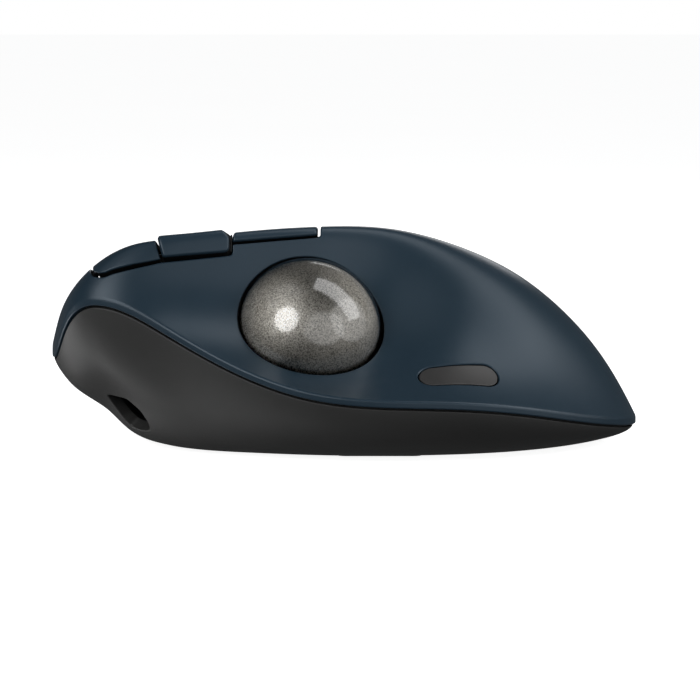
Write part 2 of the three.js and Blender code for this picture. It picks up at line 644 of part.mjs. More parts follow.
function dpiButton() {
  const [x, y] = DPI_PLACE;
  const cap = prismUp(rectangle(x - 3.4, x + 3.4, y - 1.7, y + 1.7, 1.6), 30, 70);
  const proud = formSolid(-0.4).subtract(formSolid(BUTTON_WALL, 26, 12, 5));
  return proud.intersect(cap);
}
add('dpi_button', dpiButton(), materials.base);
const windowTop = onSkin(...LED_PLACE).point.z - 0.2;
add('status_window', uprightCylinder(...LED_PLACE, windowTop - 2.8, windowTop, 0.6, 12), materials.lamp);

// ------------------------------------------------- trackball and its cradle
function ballCup() {
  const mouth = new THREE.BoxGeometry(60, 60, 60).translate(0, 0, 30 + CUP_RIM);
  const window = new THREE.CylinderGeometry(3.2, 3.2, 12, 16);
  window.rotateX(Math.PI / 2).translate(0, 0, CUP_OUTER);
  let cup = toSolid(ballGeometry(BALL_CENTRE, CUP_OUTER, 22, 14))
    .subtract(toSolid(ballGeometry(BALL_CENTRE, CUP_INNER, 22, 14)))
    .subtract(toSolid(mouth.applyMatrix4(frameAt(BALL_CENTRE, BALL_AXIS))))
    .subtract(toSolid(window.applyMatrix4(frameAt(BALL_CENTRE, SENSOR_DIRECTION))))
    .subtract(toSolid(uprightCylinder(BALL_CENTRE.x, BALL_CENTRE.y, 0, 16, EJECT_RADIUS - 1, 24)));
  for (const centre of bearingCentres()) {
    cup = cup.subtract(toSolid(ballGeometry(centre, BEARING_RADIUS + FIT_GAP, 10, 7)));
  }
  return cup.intersect(interior);
}

function bearingCentres() {
  const radius = BALL_RADIUS + BEARING_RADIUS + BEARING_GAP;
  const around = radius * Math.sqrt(1 - BEARING_DEPTH ** 2);
  const frame = frameAt(BALL_CENTRE, BALL_AXIS);
  return [0, 1, 2].map((i) => {
    const angle = Math.PI / 2 + i * Math.PI * 2 / 3;
    const centre = vec(around * Math.cos(angle), around * Math.sin(angle), radius * BEARING_DEPTH);
    return centre.applyMatrix4(frame);
  });
}

add('trackball', ballGeometry(BALL_CENTRE, BALL_RADIUS, 28, 16), materials.ball);
add('ball_cup', ballCup(), materials.inner);
bearingCentres().forEach((centre, i) => {
  add(`bearing_ball_${i + 1}`, ballGeometry(centre, BEARING_RADIUS, 10, 7), materials.ceramic);
});

const sensorFrame = frameAt(BALL_CENTRE, SENSOR_DIRECTION);
add('sensor_lens', new THREE.CylinderGeometry(2.6, 2.6, 1.6, 20).rotateX(Math.PI / 2)
  .translate(0, 0, CUP_INNER + 1.6).applyMatrix4(sensorFrame), materials.lens);
add('optical_sensor', new THREE.BoxGeometry(9, 6, 2.4).translate(0, 0, CUP_OUTER + 1.8)
  .applyMatrix4(sensorFrame), materials.inner);
add('sensor_board', new THREE.BoxGeometry(14, 8, 1).translate(0, 0, CUP_OUTER + 3.8)
  .applyMatrix4(sensorFrame), materials.board);

// ------------------------------------------------------------- scroll wheel
function lathe(profile, sides) {
  const points = [...profile, profile[0]].map(([radius, along]) => new THREE.Vector2(radius, along));
  return new THREE.LatheGeometry(points, sides);
}

function wheelTyre() {
  const half = WHEEL_WIDTH / 2;
  const face = WHEEL_RADIUS - 0.8;
  const shoulder = WHEEL_RADIUS - 0.2;
  const inner = WHEEL_RADIUS - 1.8;
  return lathe([
    [inner, -half], [face, -half], [shoulder, -half + 0.8], [WHEEL_RADIUS, 0],
    [shoulder, half - 0.8], [face, half], [inner, half],
  ], 32);
}

function wheelHub() {
  const rimOut = WHEEL_RADIUS - 2.1;
  const rimIn = rimOut - 1.5;
  return lathe([
    [1.2, -2.9], [3, -2.9], [3, -1], [rimIn, -1], [rimIn, -2.6], [rimOut, -2.6],
    [rimOut, 2.6], [rimIn, 2.6], [rimIn, 1], [3, 1], [3, 2.9], [1.2, 2.9],
  ], 18);
}

// The fork that carries the wheel and rocks sideways on its two end pins.
const PIVOT_DROP = -12.6;
const CRADLE_REACH = 11.2;
function wheelYoke() {
  const fork = outline([[-6, PIVOT_DROP + 0.8], [6, PIVOT_DROP + 0.8], [4, 2.6, 1.6], [-4, 2.6, 1.6]], 0);
  let yoke = prismAcross(fork, -5.1, -3.7).add(prismAcross(fork, 3.7, 5.1));
  yoke = yoke.add(toSolid(boxGeometry(0, 0, PIVOT_DROP, 16.4, 10.2, 1.8)));
  for (const side of [-1, 1]) {
    const pin = new THREE.CylinderGeometry(0.9, 0.9, 6, 12).rotateZ(Math.PI / 2);
    yoke = yoke.add(toSolid(pin.translate(side * 10.4, 0, PIVOT_DROP)));
  }
  return yoke.subtract(toSolid(new THREE.CylinderGeometry(1.3, 1.3, 20, 14)));
}

function wheelCradle() {
  let cradle = toSolid(boxGeometry(0, 0.9, PIVOT_DROP - 3.4, 2 * CRADLE_REACH + 1.6, 6.4, 1.6));
  for (const side of [-1, 1]) {
    const post = toSolid(boxGeometry(side * CRADLE_REACH, 0.4, PIVOT_DROP - 0.7, 1.6, 4.4, 4.6));
    const hole = new THREE.CylinderGeometry(1.2, 1.2, 4, 14).rotateZ(Math.PI / 2);
    cradle = cradle.add(post).subtract(toSolid(hole.translate(side * CRADLE_REACH, 0, PIVOT_DROP)));
  }
  return cradle;
}

const placedOnWheel = (solid) => onWheel(toGeometry(solid));
add('wheel_tyre', onWheel(wheelTyre()), materials.rubber);
add('wheel_hub', onWheel(wheelHub()), materials.inner);
add('wheel_axle', onWheel(new THREE.CylinderGeometry(0.9, 0.9, 11, 16)), materials.steel);
add('wheel_yoke', placedOnWheel(wheelYoke()), materials.inner);
add('wheel_cradle', placedOnWheel(wheelCradle()), materials.inner);
add('wheel_encoder', onWheel(boxGeometry(0, 6.8, -1.5, 9, 1.8, 7)), materials.inner);

// -------------------------------------------------- boards, switches, power
function frontBoardShape() {
  return outline([
    [-12, -20], [14, -20], [14, -9], [-5.5, -9], [-5.5, 9.8], [14, 9.8], [14, 20], [-12, 20],
  ], 1);
}

function frontBoard() {
  const armPassage = toSolid(boxGeometry(-36.5, -19, 36, 4, 6, 12));
  return toSolid(onBoard(extrude(frontBoardShape(), 0, 1.2))).intersect(interior).subtract(armPassage);
}

function innerFrame() {
  let frame = toSolid(onBoard(extrude(frontBoardShape(), -3.4, -1.6))).intersect(interior);
  const under = toSolid(onBoard(new THREE.BoxGeometry(120, 120, 80).translate(0, 0, -42.4)));
  for (const [x, y] of [[-32.5, -14], FRAME_SCREW]) {
    const post = toSolid(uprightCylinder(x, y, 7, 60, 3)).intersect(under);
    frame = frame.add(post).subtract(toSolid(uprightCylinder(x, y, 0, 12, 1.4, 12)));
  }
  const arm = toSolid(boxGeometry(-36.5, -19, 36, 3, 4, 9.8)).intersect(interior);
  return frame.add(arm);
}

function switchBody([x, y]) {
  const [localX, localY] = boardPlace(x, y);
  return onBoard(boxGeometry(localX, localY, (SWITCH_BASE + SWITCH_TOP) / 2, 5.8, 12.8, SWITCH_HEIGHT));
}

add('inner_frame', innerFrame(), materials.inner);
add('front_board', frontBoard(), materials.board);
add('left_switch', switchBody(LEFT_SWITCH), materials.inner);
add('right_switch', switchBody(RIGHT_SWITCH), materials.inner);

const thumbBoardMiddle = THUMB_BOARD_Z + THUMB_BOARD_THICK / 2;
const thumbBoard = boxGeometry(-29.6, -17.8, thumbBoardMiddle, 17, 5.2, THUMB_BOARD_THICK);
add('thumb_board', thumbBoard, materials.board);
for (const [name, [x, y]] of [['forward_switch', FORWARD_SWITCH], ['back_switch', BACK_SWITCH]]) {
  const low = THUMB_BOARD_Z + THUMB_BOARD_THICK + FIT_GAP;
  add(name, boxGeometry(x, y, low + TACT_HEIGHT / 2 - 0.1, 6, 4.2, TACT_HEIGHT - 0.2), materials.inner);
}

add('dpi_board', boxGeometry(-14, 2.5, 40.4, 9.5, 5.5, 1.2), materials.board);
add('dpi_switch', boxGeometry(-13.2, 2.5, 41.7, 4.4, 3.4, 0.8), materials.inner);

function mainBoard() {
  const shape = rectangle(-29, 27, 3, 22, 2);
  for (const [x, y] of [POWER_SLOT, PAIR_PLACE]) {
    shape.holes.push(new THREE.Path().absarc(x, y, 1.6, 0, Math.PI * 2, true));
  }
  return extrude(shape, MAIN_BOARD_Z, MAIN_BOARD_Z + BOARD_THICK);
}
add('main_board', mainBoard(), materials.board);
add('battery', extrude(rectangle(12, 46, -15.5, 2.5, 3), 4, 11), materials.cell);

// --------------------------------------------------------- charging socket
const PORT_PLACE = [-44.5, -10, 7.6];
function usbPort() {
  const [x, y, z] = PORT_PLACE;
  const body = extrude(rectangle(-4.6, 4.6, -1.7, 1.7, 1.5), 0, 7.4);
  const mouth = extrude(rectangle(-4.1, 4.1, -1.25, 1.25, 1.2), -1, 6);
  const facingNose = new THREE.Matrix4().makeBasis(vec(0, 1, 0), vec(0, 0, 1), vec(1, 0, 0));
  facingNose.setPosition(x, y, z);
  return toSolid(body.applyMatrix4(facingNose)).subtract(toSolid(mouth.applyMatrix4(facingNose)));
}
add('usb_port', usbPort(), materials.steel);
add('charge_board', boxGeometry(-39.4, -10, 4.9, 9.8, 11, 1), materials.board);

// ------------------------------------------------ underside: switches, feet
function powerSlider() {
  const [x, y] = POWER_SLOT;
  const knob = rectangle(x - 4.1, x - 0.9, y - 1.3, y + 1.3, 0.6);
  const plate = rectangle(x - 6.5, x + 1.5, y - 2.6, y + 2.6, 0.6);
  return prismUp(knob, 1, 4.5).add(prismUp(plate, 3.4, 5));
}

function pairingButton() {
  const cap = uprightCylinder(...PAIR_PLACE, 1, 4.2, PAIR_RADIUS);
  const flange = uprightCylinder(...PAIR_PLACE, 3.5, 4.6, PAIR_RADIUS + 1);
  return toSolid(cap).add(toSolid(flange));
}

add('power_slider', powerSlider(), materials.base);
add('pairing_button', pairingButton(), materials.base);

for (const [name, x, y, length, width] of FEET) {
  const halfLength = length / 2 - FIT_GAP;
  const halfWidth = width / 2 - FIT_GAP;
  const pad = rectangle(x - halfLength, x + halfLength, y - halfWidth, y + halfWidth, 2.1);
  add(`foot_${name}`, extrude(pad, 0, FOOT_THICKNESS + FIT_GAP), materials.rubber);
}

function screw(x, y, length) {
  const head = lathe([[0, 0], [2, 0], [2, 1], [1.1, 1.6], [1.1, length], [0, length]], 10);
  head.rotateX(Math.PI / 2);
  return head.translate(x, y, 1.3);
}
SHELL_SCREWS.forEach(([x, y], i) => add(`shell_screw_${i + 1}`, screw(x, y, 16), materials.steel));
add('frame_screw', screw(...FRAME_SCREW, 9.5), materials.steel);

export default mouse;
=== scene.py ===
"""Thumb-operated trackball mouse: fine surfaces, materials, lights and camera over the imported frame."""
import json
import math

import bpy
import numpy as np
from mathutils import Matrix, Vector


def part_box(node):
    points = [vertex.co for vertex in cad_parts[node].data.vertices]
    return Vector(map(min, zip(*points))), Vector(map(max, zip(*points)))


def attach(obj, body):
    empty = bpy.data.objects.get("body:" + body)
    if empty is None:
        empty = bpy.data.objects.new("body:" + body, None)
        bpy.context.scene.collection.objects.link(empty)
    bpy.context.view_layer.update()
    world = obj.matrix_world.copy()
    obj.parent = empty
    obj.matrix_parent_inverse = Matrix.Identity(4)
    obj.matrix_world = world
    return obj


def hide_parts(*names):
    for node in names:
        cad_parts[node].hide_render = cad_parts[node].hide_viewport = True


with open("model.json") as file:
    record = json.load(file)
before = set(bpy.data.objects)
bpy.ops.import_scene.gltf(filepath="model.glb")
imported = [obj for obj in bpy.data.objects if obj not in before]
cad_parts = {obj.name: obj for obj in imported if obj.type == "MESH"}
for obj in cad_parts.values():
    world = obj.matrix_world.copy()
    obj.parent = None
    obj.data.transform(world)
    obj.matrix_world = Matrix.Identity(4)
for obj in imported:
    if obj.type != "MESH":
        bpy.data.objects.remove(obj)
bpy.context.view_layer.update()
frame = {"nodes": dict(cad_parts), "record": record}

MM = 0.001  # the form is worked out in millimetres and placed in metres

# ---------------------------------------------------------------- outer form
# Stations run from nose to tail: rims and crest of the upper shell, and the footprint.
LEFT_RIM = [
    (-68.5, 0, 22.5), (-67.4, -10, 22.6), (-65.6, -18, 26.0), (-62.8, -24.8, 32.6), (-57.5, -29.3, 36.4),
    (-48.5, -32, 35), (-37.5, -35, 29.2), (-24, -40.5, 22.5), (-8.5, -45.5, 17.5), (8, -47.5, 15.7),
    (25, -45.8, 15.0), (41, -39, 12.9), (54.5, -27.5, 9.7), (64.6, -14, 7.2), (68.5, 0, 6.2),
]
CREST = [
    (-68.5, 0, 22.5), (-67.4, -3, 26.0), (-65.2, -9, 32.0), (-61.4, -15.5, 37.9), (-55.2, -20.5, 44.1),
    (-47, -23, 48.2), (-36, -22.5, 49.6), (-21, -18.5, 50.9), (-5, -13, 51.5), (11, -7, 50.5),
    (27, -3, 46.0), (42.5, -1, 38.0), (56, 0, 25.8), (64, 0, 14.6), (68.5, 0, 6.2),
]
RIGHT_RIM = [
    (-68.5, 0, 22.5), (-67.9, 10, 22.3), (-66, 19, 21.8), (-61.5, 27.5, 21.3), (-55, 33.5, 20.7),
    (-46.5, 37.8, 20), (-35, 41.3, 19), (-20.5, 44.5, 18), (-4, 46.8, 17), (13, 47.5, 15.8),
    (29.5, 45, 14), (44.5, 37.5, 11.8), (56.5, 26.5, 9.2), (65, 14, 7), (68.5, 0, 6.2),
]
LEFT_FOOT = [
    (-43, 0), (-42.6, -5), (-41.5, -10), (-39.5, -14), (-36.5, -17.5), (-32, -20.5), (-26, -23),
    (-16.5, -25.5), (-5, -27.5), (8, -28), (21.5, -26.5), (34, -23), (44.5, -17), (52, -9), (55, 0),
]
RIGHT_FOOT = [
    (-43, 0), (-42.6, 5), (-41.5, 10.5), (-39, 15.5), (-35.5, 20.5), (-31, 24.5), (-24.5, 28), (-14.5, 31.5),
    (-2, 33.5), (12, 34), (26, 32), (37.5, 27), (46.5, 19), (53, 9.5), (55, 0),
]
LEFT_RISE = [88, 86, 84, 78, 72, 60, 36, 18, 13, 14, 24, 37, 50, 58, 62]
RIGHT_RISE = [88, 86, 80, 70, 60, 54, 52, 54, 56, 58, 60, 60, 60, 60, 62]
CREST_TILT = [0, 3, 8, 12, 16, 19, 19, 16, 13, 11, 9, 8, 7, 4, 0]
LEFT_RIM_PULL = [0.55, 0.55, 0.55, 0.55, 0.55, 0.58, 0.68, 0.78, 0.8, 0.76, 0.65, 0.58, 0.55, 0.55, 0.55]
LEFT_CREST_PULL = [0.55, 0.52, 0.48, 0.43, 0.36, 0.28, 0.21, 0.17, 0.17, 0.2, 0.3, 0.42, 0.45, 0.5, 0.55]
RIGHT_RIM_PULL = [0.55, 0.52, 0.48, 0.42, 0.38, 0.36, 0.36, 0.36, 0.38, 0.4, 0.42, 0.45, 0.5, 0.5, 0.55]
RIGHT_CREST_PULL = [0.55, 0.5, 0.42, 0.3, 0.2, 0.16, 0.16, 0.18, 0.22, 0.28, 0.35, 0.4, 0.45, 0.5, 0.55]
SPAN = len(LEFT_RIM) - 1
RING = 2 * SPAN
LIP_HEIGHT = 1.6
FOOT_THICKNESS = 0.8
NOSE_PROFILE = [
    (0, 1), (0.03, 0.91), (0.1, 0.77), (0.2, 0.63), (0.34, 0.5), (0.48, 0.37), (0.6, 0.22), (0.72, 0.1),
    (0.86, 0.03), (1, 0),
]
SIDE_PROFILE = [(0, 1), (0.05, 0.45), (0.45, 0), (1, 0)]
NOSE_PROFILE_FROM = 2.5
NOSE_PROFILE_TO = 6.5
TAIL_INSET = 1.8
CREST_INSET_SIDE = 0.7
RIM_INSET_DROP = 0.3

# ------------------------------------------------------- openings and gaps
WALL = 2.2
BUTTON_WALL = 1.9
BUTTON_GAP = 0.5
BALL_RADIUS = 17
BALL_CENTRE = np.array([-8.5, -21, 27.9])
APERTURE_RADIUS = 17.6
APERTURE_DROP = np.array([0, 0, 0.3])
CLEAR_LAYER = 0.6
CONSOLE_LEFT = -2.2
CONSOLE_RIGHT = 7.2
BAY_FRONT = -57.6
BAY_REAR = -5.4
BAY_RIGHT = 28.5
BUTTON_FRONT = BAY_FRONT + BUTTON_GAP
BUTTON_REAR = BAY_REAR - 1
STRIP_INNER = -13.2
FLANK_INNER = -13.0
SLIT_X = -41.1
SLIT_Z = 45.5
SLIT_SLOPE = -0.3
SLIT_WIDTH = 0.7
FORWARD_END = -25.9
FORWARD_LOW = (45.4, 46.3)
FORWARD_PROUD = 1.0
BACK_START = -25.2
BACK_END = -6.1
BACK_LOW = (48.75, 49.9)
FLANK_EDGE = [
    (BAY_FRONT, 42.4, 0.2), (-56.9, 41.35, 0.6), (-54.3, 41.1, 1), (-52.2, 42, 1), (-48, 43, 1),
    (-41.2, 44.4, 1), (-25.2, 45.7, 1), (-25.2, 48.1, 0.3), (BAY_REAR, 49.3, 0.8),
]
FLANK_GAP = 0.75
PRESS_ROOM = 0.25  # extra gap for the slanted side walls of the keys when they are pressed
WHEEL_SLACK = 0.35  # the tyre is drawn this much narrower on each side, to clear its slot when it tilts
WHEEL_WIDTH = 6
WHEEL_RADIUS = 11
WHEEL_SIDE_GAP = 1.3
WHEEL_LEAN = math.radians(-10)
BADGE_PLACE = (25.6, -36.1)
BADGE_HALF = (8.9, 3.15)
DPI_PLACE = (-14, 2.5)
LED_PLACE = (-8.2, 2.5)
PORT_EDGE = [
    (-54.4, 13.3), (-49.5, 12.7), (-46.4, 10.1), (-44.7, 7.2), (-44.5, 5.3), (-47, 4.8), (-49.3, 5.5),
    (-51.1, 7.7), (-52.9, 10.6),
]
EJECT_RADIUS = 6
POWER_SLOT = (-22, 9, 4.5, 1.7)
PAIR_PLACE = (-8, 9, 3.3)
SCREW_PLACES = [(4, 26), (30, -20), (42, 15), (-34, 17)]
FEET = [(-37.5, 0, 5, 20), (47.5, 0, 6, 15), (8, -22.5, 20, 5), (20, 26.5, 22, 5)]


# ------------------------------------------------------------- smooth curves
class Spline:
    """Cubic spline through evenly spaced values, closed or with free ends."""

    def __init__(self, values, closed=False):
        self.values = np.array(values, float)
        self.closed = closed
        count = len(self.values)
        matrix = 4 * np.eye(count)
        jumps = np.zeros_like(self.values)
        for i in range(count):
            before, after = (i - 1) % count, (i + 1) % count
            matrix[i, before] += 1
            matrix[i, after] += 1
            jumps[i] = 6 * (self.values[after] - 2 * self.values[i] + self.values[before])
        if not closed:
            for end in (0, count - 1):
                matrix[end] = 0
                matrix[end, end] = 1
                jumps[end] = 0
        self.bends = np.linalg.solve(matrix, jumps)

    def __call__(self, t):
        t = np.asarray(t, float)
        count = len(self.values)
        piece = np.floor(t).astype(int)
        if not self.closed:
            piece = np.clip(piece, 0, count - 2)
        a, b = piece % count, (piece + 1) % count
        f = t - piece
        if self.values.ndim > 1:
            f = f[..., None]
        g = 1 - f
        bend = ((g ** 3 - g) * self.bends[a] + (f ** 3 - f) * self.bends[b]) / 6
        return g * self.values[a] + f * self.values[b] + bend


def unit(vectors):
    return vectors / np.maximum(np.linalg.norm(vectors, axis=-1, keepdims=True), 1e-12)


def tangent_of(curve, t):
    step = 1e-3
    return unit(curve(np.asarray(t) + step) - curve(np.asarray(t) - step))


def inward_of(curve, t):
    along = tangent_of(curve, t)
    return unit(np.stack([-along[..., 1], along[..., 0], 0 * along[..., 0]], -1))


def bezier(a, b, c, d, p):
    q = 1 - p
    return q ** 3 * a + 3 * q * q * p * b + 3 * q * p * p * c + p ** 3 * d


def arc(a, b, c, p):
    """A round corner from a to c that would meet at b."""
    q = 1 - p
    return q * q * a + 2 * q * p * b + p * p * c


def smoothstep(x, low, high):
    x = np.clip((x - low) / (high - low), 0, 1)
    return x * x * (3 - 2 * x)


def ring_of(left, right):
    return list(left) + list(reversed(right[1:-1]))


rises = (Spline(LEFT_RISE), Spline(RIGHT_RISE))
crest_tilt = Spline(CREST_TILT)
rim_pulls = (Spline(LEFT_RIM_PULL), Spline(RIGHT_RIM_PULL))
crest_pulls = (Spline(LEFT_CREST_PULL), Spline(RIGHT_CREST_PULL))
nose_profile = Spline(NOSE_PROFILE)


class Form:
    """The whole outer form drawn in by inset; a negative inset stands proud."""

    def __init__(self, inset):
        outer_rim = Spline(ring_of(LEFT_RIM, RIGHT_RIM), True)
        index = np.arange(RING)
        amount = np.where(index == SPAN, TAIL_INSET, 1.0) * inset
        rim_points = outer_rim.values + inward_of(outer_rim, index) * amount[:, None]
        rim_points[:, 2] -= RIM_INSET_DROP * inset
        outer_crest = Spline(CREST)
        crest_points = np.array(CREST, float)
        along = tangent_of(outer_crest, np.arange(SPAN + 1))
        for i in range(1, SPAN):
            side = CREST_INSET_SIDE * math.sin(math.pi * i / SPAN)
            crest_points[i] += inset * np.array([along[i, 2], side, -along[i, 0]])
        crest_points[0] = rim_points[0]
        crest_points[SPAN] = rim_points[SPAN]
        foot_ring = np.array([(x, y, 0) for x, y in ring_of(LEFT_FOOT, RIGHT_FOOT)], float)
        outer_foot = Spline(foot_ring, True)
        foot_points = foot_ring + inward_of(outer_foot, index) * inset
        foot_points[:, 2] = FOOT_THICKNESS + inset
        self.rim = Spline(rim_points, True)
        self.crest = Spline(crest_points)
        self.foot = Spline(foot_points, True)

    def chord(self, v, t):
        return np.linalg.norm(self.crest(v) - self.rim(t), axis=-1)

    def skin(self, v, w):
        v, w = np.broadcast_arrays(np.asarray(v, float), np.asarray(w, float))
        right = w > 0
        side = np.where(right, 1.0, -1.0)
        t = np.where(right, (RING - v) % RING, v)
        rise = np.radians(np.where(right, rises[1](v), rises[0](v)))
        tilt = np.radians(crest_tilt(v))
        edge, top = self.rim(t), self.crest(v)
        chord = np.linalg.norm(top - edge, axis=-1)
        rim_pull = np.where(right, rim_pulls[1](v), rim_pulls[0](v)) * chord
        crest_pull = np.where(right, crest_pulls[1](v), crest_pulls[0](v)) * chord
        up = inward_of(self.rim, t) * np.cos(rise)[..., None]
        up[..., 2] = np.sin(rise)
        across = np.stack([0 * side, side * np.cos(tilt), -side * np.sin(tilt)], -1)
        p = (1 - np.abs(w))[..., None]
        return bezier(edge, edge + up * rim_pull[..., None], top + across * crest_pull[..., None], top, p)

    def down(self, t):
        down = unit(np.cross(tangent_of(self.rim, t), inward_of(self.rim, t)))
        return np.where(down[..., 2:] > 0, -down, down)

    def lip(self, t, height=LIP_HEIGHT):
        return self.rim(t) + self.down(t) * height

    def wall(self, t, s, drop=0.0):
        t, s = np.broadcast_arrays(np.asarray(t, float), np.asarray(s, float))
        top, bottom = self.lip(t, LIP_HEIGHT + drop), self.foot(t)
        from_nose = np.minimum(t % RING, RING - t % RING)
        side = smoothstep(from_nose, NOSE_PROFILE_FROM, NOSE_PROFILE_TO)
        overhang = nose_profile(np.clip(s, 0, 1) * (len(NOSE_PROFILE) - 1))
        rounded = [bezier(*[point[k] for point in SIDE_PROFILE], s) for k in (0, 1)]
        inward = overhang[..., 0] * (1 - side) + rounded[0] * side
        height = overhang[..., 1] * (1 - side) + rounded[1] * side
        x = top[..., 0] + (bottom[..., 0] - top[..., 0]) * inward
        y = top[..., 1] + (bottom[..., 1] - top[..., 1]) * inward
        z = bottom[..., 2] + (top[..., 2] - bottom[..., 2]) * height
        return np.stack([x, y, z], -1)


outer = Form(0)


def normal_of(surface, v, w, v_range, step=2e-3):
    """Unit normals of a surface, kept a little away from its two poles."""
    v = np.clip(v, v_range[0] + 0.02, v_range[1] - 0.02)
    along = surface(v + step, w) - surface(v - step, w)
    across = surface(v, w + step) - surface(v, w - step)
    return unit(np.cross(along, across))


def on_skin(x, y):
    """The point of the outer skin above plan position (x, y), with its upward normal."""
    grid_v, grid_w = np.meshgrid(np.linspace(1, SPAN - 1, 200), np.linspace(-0.95, 0.95, 200))
    v, w = 0.0, 0.0
    for _ in range(4):
        points = outer.skin(grid_v, grid_w)
        miss = np.hypot(points[..., 0] - x, points[..., 1] - y)
        best = np.unravel_index(np.argmin(miss), miss.shape)
        v, w = grid_v[best], grid_w[best]
        reach_v = (grid_v[0, 1] - grid_v[0, 0]) * 2
        reach_w = (grid_w[1, 0] - grid_w[0, 0]) * 2
        near_v = np.linspace(v - reach_v, v + reach_v, 60)
        near_w = np.linspace(w - reach_w, w + reach_w, 60)
        grid_v, grid_w = np.meshgrid(near_v, near_w)
    normal = normal_of(outer.skin, np.array(v), np.array(w), (0, SPAN))
    return outer.skin(v, w), normal * np.sign(normal[2])


# --------------------------------------------------------- plane distances
def outline(points, radius=0.0):
    """A closed outline with each corner rounded by its own radius."""
    result = []
    for i, point in enumerate(points):
        corner = np.array(point[:2], float)
        own = point[2] if len(point) > 2 else radius
        if own == 0:
            result.append(corner)
            continue
        before = np.array(points[i - 1][:2], float)
        after = np.array(points[(i + 1) % len(points)][:2], float)
        start = corner + unit(before - corner) * own
        end = corner + unit(after - corner) * own
        result.extend(arc(start, corner, end, p) for p in np.linspace(0, 1, 9))
    return np.array(result)


def inside_outline(points, x, y):
    """Signed distance to an outline, positive inside."""
    nearest = np.full(x.shape, 1e9)
    inside = np.zeros(x.shape, bool)
    for (ax, ay), (bx, by) in zip(points, np.roll(points, -1, axis=0)):
        ex, ey = bx - ax, by - ay
        along = np.clip(((x - ax) * ex + (y - ay) * ey) / max(ex * ex + ey * ey, 1e-12), 0, 1)
        nearest = np.minimum(nearest, np.hypot(x - ax - along * ex, y - ay - along * ey))
        crosses = (ay > y) != (by > y)
        if ay != by:
            inside ^= crosses & (x < ax + (y - ay) * ex / (by - ay))
    return np.where(inside, nearest, -nearest)


def inside_rectangle(x, y, x0, x1, y0, y1, radius):
    dx = np.abs(x - (x0 + x1) / 2) - (x1 - x0) / 2 + radius
    dy = np.abs(y - (y0 + y1) / 2) - (y1 - y0) / 2 + radius
    return radius - np.hypot(np.maximum(dx, 0), np.maximum(dy, 0)) - np.minimum(np.maximum(dx, dy), 0)


flank_opening = outline([*FLANK_EDGE, (BAY_REAR, 70, 0), (BAY_FRONT, 70, 0)])
port_opening = outline(PORT_EDGE, 0.8)

# The wheel's own frame: along X, along its axle, and up through its rim.
wheel_low, wheel_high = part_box("wheel_tyre")
WHEEL_CENTRE = (np.array(wheel_low) + np.array(wheel_high)) / 2 / MM
WHEEL_AXLE = np.array([0, math.cos(WHEEL_LEAN), math.sin(WHEEL_LEAN)])
WHEEL_UP = np.array([0, -math.sin(WHEEL_LEAN), math.cos(WHEEL_LEAN)])
BADGE_SPOT, BADGE_NORMAL = on_skin(*BADGE_PLACE)
BADGE_SIDE = unit(np.cross(BADGE_NORMAL, np.array([-BADGE_NORMAL[1], BADGE_NORMAL[0], 0.0])))
BADGE_LEVEL = np.cross(BADGE_SIDE, BADGE_NORMAL)


def inside_bays(p):
    """Signed distance to the opening for the buttons, positive inside it."""
    x, y, z = p.T
    flank = np.minimum(inside_outline(flank_opening, x, z), FLANK_INNER + 0.5 - y)
    left = inside_rectangle(x, y, BAY_FRONT, BAY_REAR, FLANK_INNER - 3, CONSOLE_LEFT, 1.2)
    head = inside_rectangle(x, y, BAY_FRONT, SLIT_X, FLANK_INNER - 5.5, CONSOLE_LEFT, 1.2)
    ledge = inside_rectangle(x, y, SLIT_X, -18, FLANK_INNER - 6.2, FLANK_INNER, 0.5)
    right = inside_rectangle(x, y, BAY_FRONT, BAY_REAR, CONSOLE_RIGHT, BAY_RIGHT, 4)
    plan = np.maximum(np.minimum(np.maximum(left, head), z - 26), np.minimum(ledge, z - 46.6))
    return np.maximum(np.maximum(flank, plan), np.minimum(right, z - 20))


def inside_wheel_slot(p):
    local = p - WHEEL_CENTRE
    half = WHEEL_WIDTH / 2 + WHEEL_SIDE_GAP
    slot = inside_rectangle(p[:, 0] - WHEEL_CENTRE[0], local @ WHEEL_AXLE, -10.6, 10.6, -half, half, 3)
    return np.minimum(slot, local @ WHEEL_UP)


def inside_badge(p, grow=0.0):
    local = p - BADGE_SPOT
    x, y, z = local @ BADGE_LEVEL, local @ BADGE_SIDE, local @ BADGE_NORMAL
    long_half, high_half = BADGE_HALF[0] + grow, BADGE_HALF[1] + grow
    pill = inside_rectangle(x, y, -long_half, long_half, -high_half, high_half, high_half)
    return np.minimum(pill, 6 - np.abs(z))


def keep_shell(p):
    x, y, _ = p.T
    ball = np.linalg.norm(p - BALL_CENTRE + APERTURE_DROP, axis=1) - APERTURE_RADIUS
    key_x, key_y = DPI_PLACE
    key = inside_rectangle(x, y, key_x - 3.8, key_x + 3.8, key_y - 2.1, key_y + 2.1, 2)
    window = 0.9 - np.hypot(x - LED_PLACE[0], y - LED_PLACE[1])
    cuts = [inside_bays(p), inside_wheel_slot(p), key, window, inside_badge(p, 0.3)]
    return np.minimum(ball, -np.max(cuts, axis=0))


def above_edge(p, edge, x0, x1, inner):
    """Signed distance into the part of the skin above an edge on the thumb-side flank."""
    shape = outline([*edge, (x1, 70, 0), (x0, 70, 0)])
    return np.minimum(inside_outline(shape, p[:, 0], p[:, 2]), inner - p[:, 1])


def slit_at(z, side):
    """The x of the slit at a height, on its nose side (-1) or its tail side (1)."""
    return SLIT_X + (z - SLIT_Z) * SLIT_SLOPE + side * SLIT_WIDTH / 2


